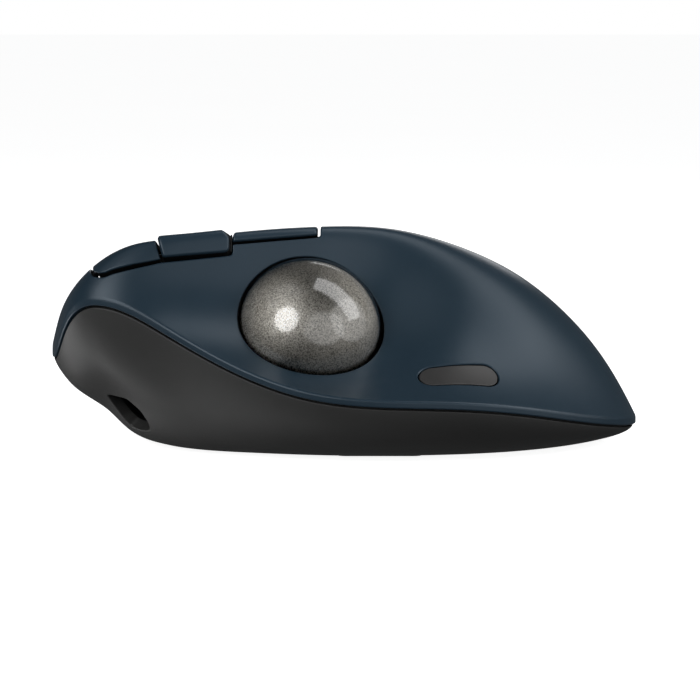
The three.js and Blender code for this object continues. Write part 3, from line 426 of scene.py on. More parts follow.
def keep_left_button(p):
    x, y, z = p.T
    inner = CONSOLE_LEFT - BUTTON_GAP
    lifted = [(at, height + FLANK_GAP + PRESS_ROOM, corner) for at, height, corner in FLANK_EDGE[1:5]]
    edge = [(BUTTON_FRONT, 43.1, 0.3), *lifted, (slit_at(45.1, -1), 45.1, 0.4)]
    flank = above_edge(p, edge, BUTTON_FRONT, slit_at(70, -1), inner)
    strip_edge = STRIP_INNER + BUTTON_GAP + 2 * PRESS_ROOM
    rear = inside_rectangle(x, y, BUTTON_FRONT, BUTTON_REAR, strip_edge, inner, 0.8)
    before_slit = (slit_at(z, -1) - x) / math.hypot(1, SLIT_SLOPE)
    head = np.minimum(inside_rectangle(x, y, BUTTON_FRONT, SLIT_X, -18, inner, 0.8), before_slit)
    return np.maximum(flank, np.minimum(np.maximum(rear, head), z - 26))


def keep_right_button(p):
    area = inside_rectangle(p[:, 0], p[:, 1], BUTTON_FRONT, BUTTON_REAR, CONSOLE_RIGHT + BUTTON_GAP,
                            BAY_RIGHT - BUTTON_GAP, 3.5)
    return np.minimum(area, p[:, 2] - 20)


def keep_forward_button(p):
    low, low_end = (height + PRESS_ROOM for height in FORWARD_LOW)
    corner = FORWARD_END - 1.8
    edge = [(slit_at(low, 1), low, 0.6), (FORWARD_END, low_end, 1.3),
            (FORWARD_END, 49.9, 0.6), (corner, 51.9, 0.6)]
    return above_edge(p, edge, slit_at(70, 1), corner, STRIP_INNER)


def keep_back_button(p):
    edge = [(BACK_START, BACK_LOW[0], 0.4), (BACK_END, BACK_LOW[1], 0.4)]
    return above_edge(p, edge, BACK_START, BACK_END, STRIP_INNER)


def keep_rib(p):
    """A rib of the tray that stands in the gap between forward and back button."""
    middle = (FORWARD_END + BACK_START) / 2 - 0.1
    return np.minimum.reduce([0.14 - np.abs(p[:, 0] - middle), STRIP_INNER - p[:, 1], p[:, 2] - 46.5])


def keep_tray(p):
    """The dark tray under the buttons, clear of the wheel and of the ball."""
    ball = np.linalg.norm(p - BALL_CENTRE, axis=1) - 19
    return np.minimum.reduce([inside_bays(p) + 1.6, ball, -inside_wheel_slot(p) - 1.5])


def keep_base(p):
    x, y, z = p.T
    port = np.minimum.reduce([inside_outline(port_opening, x, z), y + 45, -6 - y])
    cuts = [EJECT_RADIUS - np.hypot(x - BALL_CENTRE[0], y - BALL_CENTRE[1]), PAIR_PLACE[2] - np.hypot(
        x - PAIR_PLACE[0], y - PAIR_PLACE[1])]
    sx, sy, half_x, half_y = POWER_SLOT
    cuts.append(inside_rectangle(x, y, sx - half_x, sx + half_x, sy - half_y, sy + half_y, 1))
    cuts.extend(2.3 - np.hypot(x - cx, y - cy) for cx, cy in SCREW_PLACES)
    for fx, fy, length, width in FEET:
        half_x, half_y = length / 2, width / 2
        cuts.append(inside_rectangle(x, y, fx - half_x, fx + half_x, fy - half_y, fy + half_y, 1.4))
    return -np.maximum(port, np.minimum(np.max(cuts, axis=0), 3 - z))


# ------------------------------------------------------------- mesh building
def split_edges(v, w, triangles, marked):
    """Halves the edges of the marked triangles and re-joins everything without gaps."""
    edges = np.sort(triangles[:, [[0, 1], [1, 2], [2, 0]]], axis=2).reshape(-1, 2)
    unique, place = np.unique(edges, axis=0, return_inverse=True)
    place = place.reshape(-1, 3)
    split = np.zeros(len(unique), bool)
    split[place[marked].ravel()] = True
    number = np.full(len(unique), -1)
    number[split] = len(v) + np.arange(split.sum())
    ends = unique[split]
    v = np.concatenate([v, v[ends].mean(axis=1)])
    w = np.concatenate([w, w[ends].mean(axis=1)])
    middles = number[place]
    halves = (middles >= 0).sum(axis=1)
    result = [triangles[halves == 0]]
    for turn in range(3):
        a, b, c = (np.roll(triangles, -turn, axis=1)).T
        m, n, o = (np.roll(middles, -turn, axis=1)).T
        one = (m >= 0) & (n < 0) & (o < 0)
        result.append(np.stack([a, m, c], 1)[one])
        result.append(np.stack([m, b, c], 1)[one])
        two = (m >= 0) & (n >= 0) & (o < 0)
        result.append(np.stack([m, b, n], 1)[two])
        result.append(np.stack([a, m, n], 1)[two])
        result.append(np.stack([a, n, c], 1)[two])
    a, b, c = triangles[halves == 3].T
    m, n, o = middles[halves == 3].T
    result.extend(np.stack(corner, 1) for corner in ((a, m, o), (m, b, n), (o, n, c), (m, n, o)))
    return v, w, np.concatenate(result)


def clip(v, w, triangles, surface, keep):
    """Cuts the triangles along the line where keep is zero, and drops the rest."""
    value = keep(surface(v, w))
    value[np.abs(value) < 1e-6] = 1e-6
    good = value > 0
    count = good[triangles].sum(axis=1)
    mixed = triangles[(count == 1) | (count == 2)]
    edges = np.sort(mixed[:, [[0, 1], [1, 2], [2, 0]]].reshape(-1, 2), axis=1)
    edges = np.unique(edges[good[edges[:, 0]] != good[edges[:, 1]]], axis=0)
    first = np.where(good[edges[:, 0]], edges[:, 0], edges[:, 1])
    last = np.where(good[edges[:, 0]], edges[:, 1], edges[:, 0])
    low, high = np.zeros(len(edges)), np.ones(len(edges))
    for _ in range(18):
        middle = (low + high) / 2
        middle_v = v[first] + (v[last] - v[first]) * middle
        middle_w = w[first] + (w[last] - w[first]) * middle
        kept = keep(surface(middle_v, middle_w)) > 0
        low, high = np.where(kept, middle, low), np.where(kept, high, middle)
    lookup = {tuple(edge): len(v) + i for i, edge in enumerate(edges.tolist())}
    v = np.concatenate([v, v[first] + (v[last] - v[first]) * low])
    w = np.concatenate([w, w[first] + (w[last] - w[first]) * low])
    result = triangles[count == 3].tolist()
    for a, b, c in mixed.tolist():
        if good[a] == good[b]:
            a, b, c = c, a, b
        elif good[a] == good[c]:
            a, b, c = b, c, a
        m = lookup[(min(a, b), max(a, b))]
        n = lookup[(min(a, c), max(a, c))]
        if good[a]:
            result.append([a, m, n])
        else:
            result.extend([[m, b, c], [m, c, n]])
    return v, w, np.array(result)


def edge_of(triangles):
    """The directed edges that only one triangle has."""
    edges = triangles[:, [[0, 1], [1, 2], [2, 0]]].reshape(-1, 2)
    _, place, counts = np.unique(np.sort(edges, axis=1), axis=0, return_inverse=True, return_counts=True)
    return edges[counts[place.ravel()] == 1]


def rounded(points, normals, keep, radius):
    """Rolls the surface over at its trimmed edges. Returns points, normals and sideways directions."""
    value = keep(points)
    near = np.where(value < 3 * radius)[0]
    sideways = np.zeros_like(points)
    if len(near) == 0:
        return points, normals, sideways
    p, n = points[near], normals[near]
    step = 0.01
    slope = np.stack([keep(p + step * axis) - keep(p - step * axis) for axis in np.eye(3)], 1) / (2 * step)
    slope -= (slope * n).sum(axis=1, keepdims=True) * n
    size = np.linalg.norm(slope, axis=1)
    away = -slope / np.maximum(size, 1e-6)[:, None]
    distance = np.clip(value[near] / np.maximum(size, 0.35), 0, radius)
    lean = (radius - distance) / radius
    height = np.sqrt(1 - lean ** 2)
    points, normals = points.copy(), normals.copy()
    points[near] -= n * (radius * (1 - height))[:, None]
    normals[near] = unit(n * height[:, None] + away * lean[:, None])
    sideways[near] = away
    return points, normals, sideways


def build(name, points, triangles, corner_normals, material, gap_shade_material=None, painted_count=None):
    """A mesh object from millimetre points, with its coincident points joined.

    The triangles after painted_count take the second material: black plastic on the side walls and backs,
    which paints the shade in the narrow gaps.
    """
    keys = np.round(points * 2e3).astype(np.int64)
    _, first, place = np.unique(keys, axis=0, return_index=True, return_inverse=True)
    place = place.ravel()
    triangles = place[triangles]
    whole = (triangles[:, 0] != triangles[:, 1]) & (triangles[:, 1] != triangles[:, 2]) & (
        triangles[:, 2] != triangles[:, 0])
    # faces past the outside (side walls and backs) get black plastic: painted shade in the gaps
    gap_shade_faces = np.arange(len(triangles)) >= (painted_count or len(triangles))
    triangles, corner_normals, gap_shade_faces = triangles[whole], corner_normals[whole], gap_shade_faces[whole]
    mesh = bpy.data.meshes.new(name)
    mesh.from_pydata((points[first] * MM).tolist(), [], triangles.tolist())
    mesh.polygons.foreach_set("use_smooth", np.ones(len(triangles), bool))
    mesh.normals_split_custom_set(unit(corner_normals).reshape(-1, 3).tolist())
    mesh.materials.append(material)
    if gap_shade_material is not None:
        mesh.materials.append(gap_shade_material)
        mesh.polygons.foreach_set("material_index", gap_shade_faces.astype(np.int32))
    item = bpy.data.objects.new(name, mesh)
    bpy.context.collection.objects.link(item)
    return item


def panel(name, outside, inside, keep, rows, columns, v_range, radius, material, fine=0.22, gap_shade_material=None):
    """A moulded wall between two surfaces, trimmed by keep, its outer edges rounded.

    With a second material, only the outside and its rounded edges have the first one; the side walls and
    backs take the second, black plastic that paints the shade in the gaps round the parts.
    """
    v, w = [grid.ravel() for grid in np.meshgrid(rows, columns, indexing="ij")]
    corner = np.arange(len(v)).reshape(len(rows), len(columns))
    a, b = corner[:-1, :-1].ravel(), corner[1:, :-1].ravel()
    c, d = corner[1:, 1:].ravel(), corner[:-1, 1:].ravel()
    triangles = np.concatenate([np.stack([a, b, c], 1), np.stack([a, c, d], 1)])
    for _ in range(3):
        points = outside(v, w)
        value = keep(points)[triangles]
        sides = points[triangles] - points[np.roll(triangles, -1, axis=1)]
        longest = np.linalg.norm(sides, axis=2).max(axis=1)
        near = (value.min(axis=1) < 1.5 * radius + 0.3 * longest) & (value.max(axis=1) > -0.5 * longest)
        v, w, triangles = split_edges(v, w, triangles, near & (longest > fine))
    v, w, triangles = clip(v, w, triangles, outside, keep)
    used, place = np.unique(triangles, return_inverse=True)
    v, w, triangles = v[used], w[used], place.reshape(-1, 3)
    points = outside(v, w)
    normals = normal_of(outside, v, w, v_range)
    first, second, third = (points[triangles[:, corner]] for corner in range(3))
    flat = np.cross(second - first, third - first)
    middle = points[triangles].mean(axis=1) - inside(v, w)[triangles].mean(axis=1)
    if (flat * middle).sum() < 0:
        triangles = triangles[:, ::-1]
        flat = -flat
    if (flat * normals[triangles[:, 0]]).sum() < 0:
        normals = -normals
    rim = edge_of(triangles)
    points, smooth, sideways = rounded(points, normals, keep, radius)
    count = len(points)
    backs = inside(v, w)
    a, b = rim.T
    sides = np.concatenate([np.stack([b, a, a + count], 1), np.stack([b, a + count, b + count], 1)])
    everything = np.concatenate([triangles, triangles[:, ::-1] + count, sides])
    side_normals = sideways[sides % count]
    lost = np.linalg.norm(side_normals, axis=2) < 0.5
    side_normals[lost] = smooth[sides % count][lost]
    corner_normals = np.concatenate([smooth[triangles], -normals[triangles[:, ::-1]], side_normals])
    item = build(name, np.concatenate([points, backs]), everything, corner_normals, material,
                 gap_shade_material, len(triangles))
    return item, points, rim


# ------------------------------------------------------------------ shells
CORNER = 0.55
shell_inner = Form(WALL)


def shell_outside(v, c):
    v, c = np.broadcast_arrays(np.asarray(v, float), np.asarray(c, float))
    side = np.where(c > 0, 1.0, -1.0)
    a = np.abs(c)
    t = np.where(c > 0, (RING - v) % RING, v)
    pull = np.where(c > 0, rim_pulls[1](v), rim_pulls[0](v))
    share = np.minimum(CORNER / np.maximum(3 * pull * outer.chord(v, t), 1e-3), 0.3)
    skin = outer.skin(v, side * np.minimum(a, 1) * (1 - share))
    edge, down, inward = outer.rim(t), outer.down(t), inward_of(outer.rim, t)
    a = a[..., None]
    start, low = edge + down * CORNER, edge + down * LIP_HEIGHT
    corner = arc(skin, edge, start, np.clip((a - 1) / 0.5, 0, 1))
    band = start + (low - down * 0.35 - start) * np.clip((a - 1.5) / 0.5, 0, 1)
    turn = arc(low - down * 0.35, low, low + inward * 0.35, np.clip((a - 2) / 0.5, 0, 1))
    under = low + inward * (0.35 + 1.65 * np.clip((a - 2.5) / 0.5, 0, 1))
    return np.select([a <= 1, a <= 1.5, a <= 2, a <= 2.5], [skin, corner, band, turn], under)


def shell_inside(v, c):
    v, c = np.broadcast_arrays(np.asarray(v, float), np.asarray(c, float))
    skin = shell_inner.skin(v, np.clip(c, -1, 1))
    end = shell_outside(v, np.where(c > 0, 3.0, -3.0))
    share = np.clip((np.abs(c) - 1) / 2, 0, 1)[..., None]
    return skin + (end - skin) * share


BASE_INSET = 0.4
base_outer = Form(BASE_INSET)
base_inner = Form(BASE_INSET + 2)


def spine(t, height):
    v = np.minimum(t % RING, RING - t % RING)
    return np.stack([-34 + 80 * v / SPAN, 0 * v, 0 * v + height], -1)


def base_outside(t, q):
    t, q = np.broadcast_arrays(np.asarray(t, float), np.asarray(q, float))
    wall = base_outer.wall(t, np.clip(q, 0.012, 1), 0.35)
    top = base_outer.wall(t, 0 * q, 0.35)
    inward, down = inward_of(base_outer.rim, t), base_outer.down(t)
    k = q[..., None]
    turn = arc(wall, top, top + inward * 0.4, np.clip(-k, 0, 1))
    ledge = top + inward * (0.4 + 1.1 * np.clip(-k - 1, 0, 1))
    tongue = top + inward * 1.5 - down * 2.2 * np.clip(-k - 2, 0, 1)
    floor = wall + (spine(t, FOOT_THICKNESS + BASE_INSET) - wall) * np.clip(k - 1, 0, 1)
    result = np.select([k <= -2, k <= -1, k <= 0, k <= 1], [tongue, ledge, turn, wall], floor)
    lowered = BASE_INSET * smoothstep(q, 0.5, 0.95)
    result[..., 2] -= np.where(q > 0, lowered, 0)
    return result


def base_inside(t, q):
    t, q = np.broadcast_arrays(np.asarray(t, float), np.asarray(q, float))
    wall = base_inner.wall(t, np.clip(q, 0, 1), 0.35)
    k = q[..., None]
    floor = wall + (spine(t, FOOT_THICKNESS + BASE_INSET + 2) - wall) * np.clip(k - 1, 0, 1)
    end = base_outside(t, 0 * q - 3.0)
    above = wall + (end - wall) * np.clip(-k / 3, 0, 1)
    return np.where(k > 0, floor, above)


# ---------------------------------------------------------------- materials
def material(name, color, roughness, metallic=0.0, **sockets):
    """A principled material; the caller adds its pattern nodes."""
    result = bpy.data.materials.new(name)
    result.use_nodes = True
    shader = result.node_tree.nodes["Principled BSDF"]
    shader.inputs["Base Color"].default_value = (*color, 1)
    shader.inputs["Roughness"].default_value = roughness
    shader.inputs["Metallic"].default_value = metallic
    for socket, value in sockets.items():
        shader.inputs[socket.replace("_", " ")].default_value = value
    return result, result.node_tree, shader


def noise(tree, scale, detail=2.0, roughness=0.5):
    """Noise in object space; scale is in cells per metre."""
    place = tree.nodes.new("ShaderNodeTexCoord")
    texture = tree.nodes.new("ShaderNodeTexNoise")
    texture.inputs["Scale"].default_value = scale
    texture.inputs["Detail"].default_value = detail
    texture.inputs["Roughness"].default_value = roughness
    tree.links.new(place.outputs["Object"], texture.inputs["Vector"])
    return texture.outputs["Fac"]


def ramp(tree, source, stops):
    node = tree.nodes.new("ShaderNodeValToRGB")
    elements = node.color_ramp.elements
    while len(elements) < len(stops):
        elements.new(0.5)
    for element, (position, color) in zip(elements, stops):
        element.position = position
        element.color = (*color, 1) if len(color) == 3 else color
    tree.links.new(source, node.inputs["Fac"])
    return node.outputs["Color"]


def bump(tree, shader, source, strength, distance):
    node = tree.nodes.new("ShaderNodeBump")
    node.inputs["Strength"].default_value = strength
    node.inputs["Distance"].default_value = distance
    tree.links.new(source, node.inputs["Height"])
    tree.links.new(node.outputs["Normal"], shader.inputs["Normal"])


def varied(tree, shader, socket, source, low, high):
    """Lets a number socket wander between two values with a pattern."""
    node = tree.nodes.new("ShaderNodeMapRange")
    node.inputs["To Min"].default_value = low
    node.inputs["To Max"].default_value = high
    tree.links.new(source, node.inputs["Value"])
    tree.links.new(node.outputs["Result"], shader.inputs[socket])


def moulded(name, dark, light, roughness, grain, depth, **sockets):
    """Moulded or painted plastic: two close shades and a fine grain."""
    result, tree, shader = material(name, dark, roughness, **sockets)
    tree.links.new(ramp(tree, noise(tree, 60, 3), [(0.35, dark), (0.65, light)]), shader.inputs["Base Color"])
    varied(tree, shader, "Roughness", noise(tree, grain * 0.6, 3), roughness - 0.05, roughness + 0.05)
    bump(tree, shader, noise(tree, grain, 3, 0.6), 0.35, depth)
    return result


def shell_paint():
    return moulded("soft_paint", (0.013, 0.029, 0.045), (0.015, 0.032, 0.049), 0.34, 5200, 0.00003,
                   Specular_IOR_Level=0.5, Specular_Tint=(0.8, 0.9, 1, 1))


def charcoal():
    return moulded("charcoal_plastic", (0.026, 0.026, 0.0255), (0.03, 0.03, 0.0295), 0.5, 4200, 0.00005,
                   Specular_IOR_Level=0.45)


def black_plastic():
    return moulded("black_plastic", (0.008, 0.008, 0.0085), (0.011, 0.011, 0.0115), 0.55, 3000, 0.00004,
                   Specular_IOR_Level=0.3)


def badge_plastic():
    return moulded("badge_plastic", (0.038, 0.037, 0.037), (0.046, 0.045, 0.044), 0.36, 2600, 0.00003)


def rubber():
    return moulded("rubber", (0.012, 0.012, 0.0125), (0.017, 0.017, 0.0175), 0.75, 2600, 0.00006)


def flake_core():
    """Silver flakes under clear resin: each cell its own shade and its own tilt."""
    result, tree, shader = material("flake_core", (0.85, 0.84, 0.82), 0.55, 0.8)
    place = tree.nodes.new("ShaderNodeTexCoord")
    cells = tree.nodes.new("ShaderNodeTexVoronoi")
    cells.inputs["Scale"].default_value = 6400
    tree.links.new(place.outputs["Object"], cells.inputs["Vector"])
    shade = tree.nodes.new("ShaderNodeSeparateColor")
    tree.links.new(cells.outputs["Color"], shade.inputs["Color"])
    stops = [(0.0, (0.14, 0.13, 0.11)), (0.35, (0.55, 0.53, 0.49)),
             (0.7, (0.95, 0.93, 0.89)), (1.0, (1.0, 0.99, 0.96))]
    tree.links.new(ramp(tree, shade.outputs["Red"], stops), shader.inputs["Base Color"])
    varied(tree, shader, "Roughness", shade.outputs["Green"], 0.42, 0.6)
    bump(tree, shader, shade.outputs["Blue"], 0.4, 0.0001)
    return result


def clear_resin():
    """The polished outer layer: see-through, with a mirror-like glint that grows towards its edge."""
    result = bpy.data.materials.new("clear_resin")
    result.use_nodes = True
    tree = result.node_tree
    tree.nodes.remove(tree.nodes["Principled BSDF"])
    clear = tree.nodes.new("ShaderNodeBsdfTransparent")
    clear.inputs["Color"].default_value = (0.93, 0.92, 0.9, 1)
    glint = tree.nodes.new("ShaderNodeBsdfGlossy")
    glint.inputs["Color"].default_value = (1, 1, 1, 1)
    varied(tree, glint, "Roughness", noise(tree, 400, 2), 0.09, 0.13)
    edge = tree.nodes.new("ShaderNodeFresnel")
    edge.inputs["IOR"].default_value = 2.0
    mix = tree.nodes.new("ShaderNodeMixShader")
    tree.links.new(edge.outputs["Fac"], mix.inputs["Fac"])
    tree.links.new(clear.outputs["BSDF"], mix.inputs[1])
    tree.links.new(glint.outputs["BSDF"], mix.inputs[2])
    tree.links.new(mix.outputs["Shader"], tree.nodes["Material Output"].inputs["Surface"])
    return result


def steel():
    result, tree, shader = material("steel", (0.5, 0.5, 0.51), 0.35, 1.0)
    varied(tree, shader, "Roughness", noise(tree, 3000, 2), 0.25, 0.42)
    bump(tree, shader, noise(tree, 2500, 2), 0.2, 0.00003)
    return result


def solder_mask():
    result, tree, shader = material("solder_mask", (0.01, 0.06, 0.03), 0.35)
    stops = [(0.45, (0.008, 0.05, 0.024)), (0.55, (0.014, 0.075, 0.036))]
    tree.links.new(ramp(tree, noise(tree, 900, 1), stops), shader.inputs["Base Color"])
    return result


def plain_gloss(name, dark, light, roughness):
    result, tree, shader = material(name, dark, roughness)
    tree.links.new(ramp(tree, noise(tree, 300, 2), [(0.4, dark), (0.6, light)]), shader.inputs["Base Color"])
    varied(tree, shader, "Roughness", noise(tree, 1500, 2), roughness - 0.03, roughness + 0.04)
    return result


finishes = {
    "shell": shell_paint(),
    "base": charcoal(),
    "badge": badge_plastic(),
    "ball": flake_core(),
    "inner": black_plastic(),
    "board": solder_mask(),
    "rubber": rubber(),
    "steel": steel(),
    "ceramic": plain_gloss("ceramic", (0.78, 0.76, 0.7), (0.84, 0.82, 0.77), 0.15),
    "lens": plain_gloss("red_lens", (0.2, 0.015, 0.015), (0.26, 0.02, 0.02), 0.12),
    "cell": plain_gloss("foil_wrap", (0.42, 0.44, 0.46), (0.48, 0.5, 0.52), 0.32),
    "lamp": plain_gloss("frosted_window", (0.6, 0.64, 0.68), (0.68, 0.72, 0.76), 0.4),
}


def finish_frame_nodes():
    """Gives each CAD node the finish of its material slot."""
    for part in frame["record"]["subparts"]:
        item = frame["nodes"][part["node"]]
        item.data.materials.clear()
        item.data.materials.append(finishes[part["material_slot"]])


def placed(item, body, slot, *nodes):
    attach(item, body)
    if nodes:
        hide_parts(*nodes)
    return item


finish_frame_nodes()

# -------------------------------------------------------------- the casings
def steps(*parts):
    """Joins evenly spaced stretches given as (start, end, count)."""
    return np.unique(np.round(np.concatenate([np.linspace(*part) for part in parts]), 9))


shell_rows = steps((0, 0.4, 12), (0.4, 13.6, 190), (13.6, 14, 12))
half_columns = steps((0, 1, 58), (1, 1.5, 6), (1.5, 2, 4), (2, 2.5, 5), (2.5, 3, 3))
shell_columns = np.concatenate([-half_columns[::-1], half_columns[1:]])
# side walls of the cut edges take black plastic: painted shade in the key gaps and openings
upper, _, _ = panel("shell_top", shell_outside, shell_inside, keep_shell, shell_rows, shell_columns,
                    (0, SPAN), 0.32, finishes["shell"], gap_shade_material=finishes["inner"])
placed(upper, "housing", "shell", "upper_shell")

base_rows = steps((0, RING, 28 * 13 + 1))
base_columns = steps((-3, -2, 4), (-2, -1, 4), (-1, 0, 6), (0, 1, 64), (1, 2, 22))
lower, base_points, base_rim = panel(
    "shell_bottom", base_outside, base_inside, keep_base, base_rows, base_columns,
    (-1, RING + 1), 0.3, finishes["base"])
placed(lower, "housing", "base", "base_shell")


def key(name, body, keep, v_range, w_range, radius, node, proud=0.0):
    low, high = v_range
    rows = np.linspace(low, high, int((high - low) * 16))
    columns = np.linspace(*w_range, int((w_range[1] - w_range[0]) * 70))
    surface, back = Form(-proud), Form(BUTTON_WALL)
    # side walls take black plastic: painted shade in the gaps round the keys
    item, _, _ = panel(name, surface.skin, back.skin, keep, rows, columns, (0, SPAN), radius,
                       finishes["shell"], gap_shade_material=finishes["inner"])
    return placed(item, body, "shell", node)


key("key_left", "left_click", keep_left_button, (1.5, 9.5), (-0.95, 0.75), 0.4, "left_button")
key("key_right", "right_click", keep_right_button, (1.5, 9.5), (0.05, 0.97), 0.4, "right_button")
key("key_forward", "forward_key", keep_forward_button, (4.5, 8), (-0.8, 0.6), 0.7, "forward_button",
    FORWARD_PROUD)
key("key_back", "back_key", keep_back_button, (6, 9.2), (-0.8, 0.6), 0.7, "back_button")

tray, _, _ = panel("button_tray", Form(3.4).skin, Form(4.4).skin, keep_tray, np.linspace(1.5, 9.5, 110),
                   np.linspace(-0.9, 0.97, 90), (0, SPAN), 0.2, finishes["inner"], 0.6)
placed(tray, "housing", "inner")
rib, _, _ = panel("button_rib", Form(0.5).skin, Form(4).skin, keep_rib, np.linspace(6.4, 6.9, 30),
                  np.linspace(-0.6, 0.4, 80), (0, SPAN), 0.05, finishes["inner"], 0.1)
placed(rib, "housing", "inner")

badge, _, _ = panel("badge_plate", Form(0.12).skin, Form(0.8).skin, inside_badge, np.linspace(9, 12.2, 60),
                    np.linspace(-0.98, -0.4, 50), (0, SPAN), 0.18, finishes["badge"])
placed(badge, "housing", "badge", "side_badge")


# --------------------------------------------------------------- the ball
def globe(name, radius, material, rings=96):
    """A sphere built as six bulged squares, so that its faces are even all over."""
    side = np.tan(np.linspace(-math.pi / 4, math.pi / 4, rings // 3 + 1))
    a, b = [grid.ravel() for grid in np.meshgrid(side, side, indexing="ij")]
    faces, points = [], []
    corner = np.arange(len(a)).reshape(len(side), len(side))
    p, q = corner[:-1, :-1].ravel(), corner[1:, :-1].ravel()
    r, s = corner[1:, 1:].ravel(), corner[:-1, 1:].ravel()
    for axis in range(3):
        for sign in (-1, 1):
            face = np.empty((len(a), 3))
            face[:, axis] = sign
            face[:, (axis + 1) % 3] = a
            face[:, (axis + 2) % 3] = b * sign
            start = len(points) * len(a)
            faces.append(np.concatenate([np.stack([p, q, r], 1), np.stack([p, r, s], 1)]) + start)
            points.append(unit(face))
    directions, triangles = np.concatenate(points), np.concatenate(faces)
    return build(name, BALL_CENTRE + directions * radius, triangles, directions[triangles], material)


core = placed(globe("ball_core", BALL_RADIUS - CLEAR_LAYER, finishes["ball"]), "ball", "ball", "trackball")
placed(globe("ball_clear_coat", BALL_RADIUS, clear_resin()), "ball", "ball")


# -------------------------------------------------------------- the wheel
def turned(name, profile, sides, material, wave=None):
    """A body turned about the wheel's axle from a closed profile of (radius, along)."""
    profile = np.array(profile, float)
    count = len(profile)
    angles = np.arange(sides) * 2 * math.pi / sides
    radius = np.repeat(profile[None, :, 0], sides, axis=0)
    if wave is not None:
        radius = radius + wave(angles)[:, None] * (radius > WHEEL_RADIUS - 0.95)
    across = np.cos(angles)[:, None, None] * np.array([1.0, 0, 0]) + np.sin(angles)[:, None, None] * WHEEL_UP
    points = WHEEL_CENTRE + radius[..., None] * across + profile[None, :, 1, None] * WHEEL_AXLE
    index = np.arange(sides * count).reshape(sides, count)
    after, beside = np.roll(index, -1, axis=0), np.roll(index, -1, axis=1)
    corner = np.roll(after, -1, axis=1)
    faces = np.stack([index, beside, corner, after], -1).reshape(-1, 4)
    mesh = bpy.data.meshes.new(name)
    mesh.from_pydata((points.reshape(-1, 3) * MM).tolist(), [], faces.tolist())
    mesh.materials.append(material)
    mesh.polygons.foreach_set("use_smooth", np.ones(len(faces), bool))
    item = bpy.data.objects.new(name, mesh)
    bpy.context.collection.objects.link(item)
    bevel = item.modifiers.new("edges", "BEVEL")
    bevel.width = 0.15 * MM
    bevel.segments = 2
    bevel.limit_method = "ANGLE"
    bevel.angle_limit = math.radians(40)
    bevel.harden_normals = True
    return item


def ribs(angles):
    return -0.4 * (np.cos(angles * 36) > 0.35)


half = WHEEL_WIDTH / 2 - WHEEL_SLACK
tyre_profile = [
    (9.2, -half), (10.1, -half), (10.7, -half + 0.7), (WHEEL_RADIUS, -0.9),
    (WHEEL_RADIUS, 0.9), (10.7, half - 0.7), (10.1, half), (9.2, half),
]
tyre = turned("wheel_tread", tyre_profile, 288, finishes["rubber"], ribs)
placed(tyre, "wheel", "rubber", "wheel_tyre")
hub_profile = [
    (1.2, -2.9), (3, -2.9), (3, -1), (7.4, -1), (7.4, -2.6), (8.9, -2.6),
    (8.9, 2.6), (7.4, 2.6), (7.4, 1), (3, 1), (3, 2.9), (1.2, 2.9),
]
hub = turned("wheel_core", hub_profile, 72, finishes["inner"])
placed(hub, "wheel", "inner", "wheel_hub")


# ------------------------------------------------------- charging recess
def chain(edges, points, near):
    """The closed loop of edge points round a place, in order."""
    following = {a: b for a, b in edges.tolist()}
    start = min(following, key=lambda i: np.linalg.norm(points[i] - near))
    loop, current = [start], following[start]
    while current != start:
        loop.append(current)
        current = following[current]
    return points[loop]


def recess():
    """A pocket behind the port opening, tapering towards the socket."""
    loop = chain(base_rim, base_points, np.array([-49.5, -16, 9]))
    middle = loop.mean(axis=0)
    inward = unit(np.array([0.5, 0.85, 0.15]))
    levels = [(0.15, 1.05), (1.5, 1.03), (4.5, 0.96), (7, 0.9), (7.01, 0.02)]
    rings = [middle + (loop - middle) * grow + inward * depth for depth, grow in levels]
    points = np.concatenate(rings)
    count = len(loop)
    faces = []
    for level in range(len(rings) - 1):
        for i in range(count):
            j = (i + 1) % count
            low, high = level * count, (level + 1) * count
            faces.append([low + i, low + j, high + j, high + i])
    mesh = bpy.data.meshes.new("port_recess")
    mesh.from_pydata((points * MM).tolist(), [], faces)
    mesh.materials.append(finishes["inner"])
    item = bpy.data.objects.new("port_recess", mesh)
    bpy.context.collection.objects.link(item)
    thick = item.modifiers.new("wall", "SOLIDIFY")
    thick.thickness = 0.6 * MM
    thick.offset = 1
    return placed(item, "housing", "inner")


recess()


# ------------------------------------------------- floor, camera and lights
def floor():
    mesh = bpy.data.meshes.new("floor")
    mesh.from_pydata([(-6, -3, 0), (6, -3, 0), (6, 12, 0), (-6, 12, 0)], [], [(0, 1, 2, 3)])
    item = bpy.data.objects.new("floor", mesh)
    bpy.context.collection.objects.link(item)
    result, tree, shader = material("floor", (0.9, 0.9, 0.9), 0.9)
    stops = [(0.4, (0.9, 0.9, 0.9)), (0.6, (0.92, 0.92, 0.92))]
    tree.links.new(ramp(tree, noise(tree, 3, 2), stops), shader.inputs["Base Color"])
    shader.inputs["Emission Color"].default_value = (1, 1, 1, 1)
    shader.inputs["Emission Strength"].default_value = 0.9
    shader.inputs["Specular IOR Level"].default_value = 0
    mesh.materials.append(result)
    item.visible_glossy = False
    item.visible_diffuse = False
    item.visible_shadow = False


def camera():
    data = bpy.data.cameras.new("camera")
    data.lens = 153.2
    data.sensor_width = 36
    data.clip_start = 0.01
    data.clip_end = 60
    item = bpy.data.objects.new("camera", data)
    bpy.context.collection.objects.link(item)
    elevation = math.radians(6.5)
    target = Vector((1.29, 0, 21.5)) * MM
    back = Vector((0, -math.cos(elevation), math.sin(elevation)))
    item.location = target + back * 0.7
    item.rotation_euler = (-back).to_track_quat("-Z", "Y").to_euler()
    bpy.context.scene.camera = item


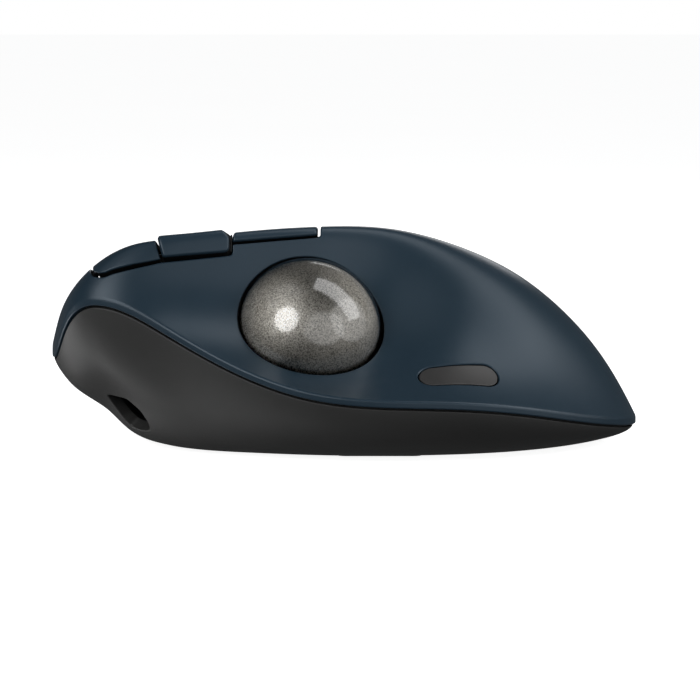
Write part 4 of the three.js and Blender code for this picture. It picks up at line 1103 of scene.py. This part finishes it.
def softbox(name, direction, distance, size, power, aim=(0, 0, 25), shape="ELLIPSE"):
    """A flat lamp that faces a point of the object."""
    data = bpy.data.lights.new(name, "AREA")
    data.shape = shape
    data.size, data.size_y = size
    data.energy = power
    item = bpy.data.objects.new(name, data)
    bpy.context.collection.objects.link(item)
    away = Vector(direction).normalized()
    item.location = Vector(aim) * MM + away * distance
    item.rotation_euler = (away.to_track_quat("Z", "Y")).to_euler()


def surroundings():
    world = bpy.data.worlds.new("surroundings")
    bpy.context.scene.world = world
    world.use_nodes = True
    tree = world.node_tree
    background = tree.nodes["Background"]
    background.inputs["Color"].default_value = (1, 1, 1, 1)
    dim = tree.nodes.new("ShaderNodeBackground")
    dim.inputs["Color"].default_value = (0.95, 0.98, 1, 1)
    dim.inputs["Strength"].default_value = 0.08
    path = tree.nodes.new("ShaderNodeLightPath")
    mix = tree.nodes.new("ShaderNodeMixShader")
    tree.links.new(path.outputs["Is Camera Ray"], mix.inputs["Fac"])
    tree.links.new(dim.outputs["Background"], mix.inputs[1])
    tree.links.new(background.outputs["Background"], mix.inputs[2])
    tree.links.new(mix.outputs["Shader"], tree.nodes["World Output"].inputs["Surface"])


floor()
camera()
surroundings()
ball_aim = tuple(BALL_CENTRE)
softbox("window_light", (0.66, -0.07, 0.75), 0.6, (0.3, 0.75), 1.35, ball_aim, "RECTANGLE")
softbox("side_light", (0.91, -0.27, 0.3), 0.6, (0.8, 0.6), 1.0)
softbox("front_light", (-0.51, -0.76, 0.42), 0.9, (0.6, 0.6), 3.4, ball_aim)
softbox("brow_light", (-0.5, -0.32, 0.8), 0.7, (0.6, 0.6), 0.3)
softbox("tail_light", (0.45, -0.88, 0.2), 0.9, (1.1, 0.8), 1.5)
softbox("nose_light", (-0.9, 0.12, -0.42), 0.7, (0.4, 0.4), 1.7)
softbox("under_light", (-0.6, -0.2, -0.77), 0.7, (0.5, 0.5), 0.35)
softbox("far_light", (0.1, 0.9, 0.42), 1.0, (0.6, 0.5), 1.2)
bpy.context.scene.view_settings.view_transform = "Standard"
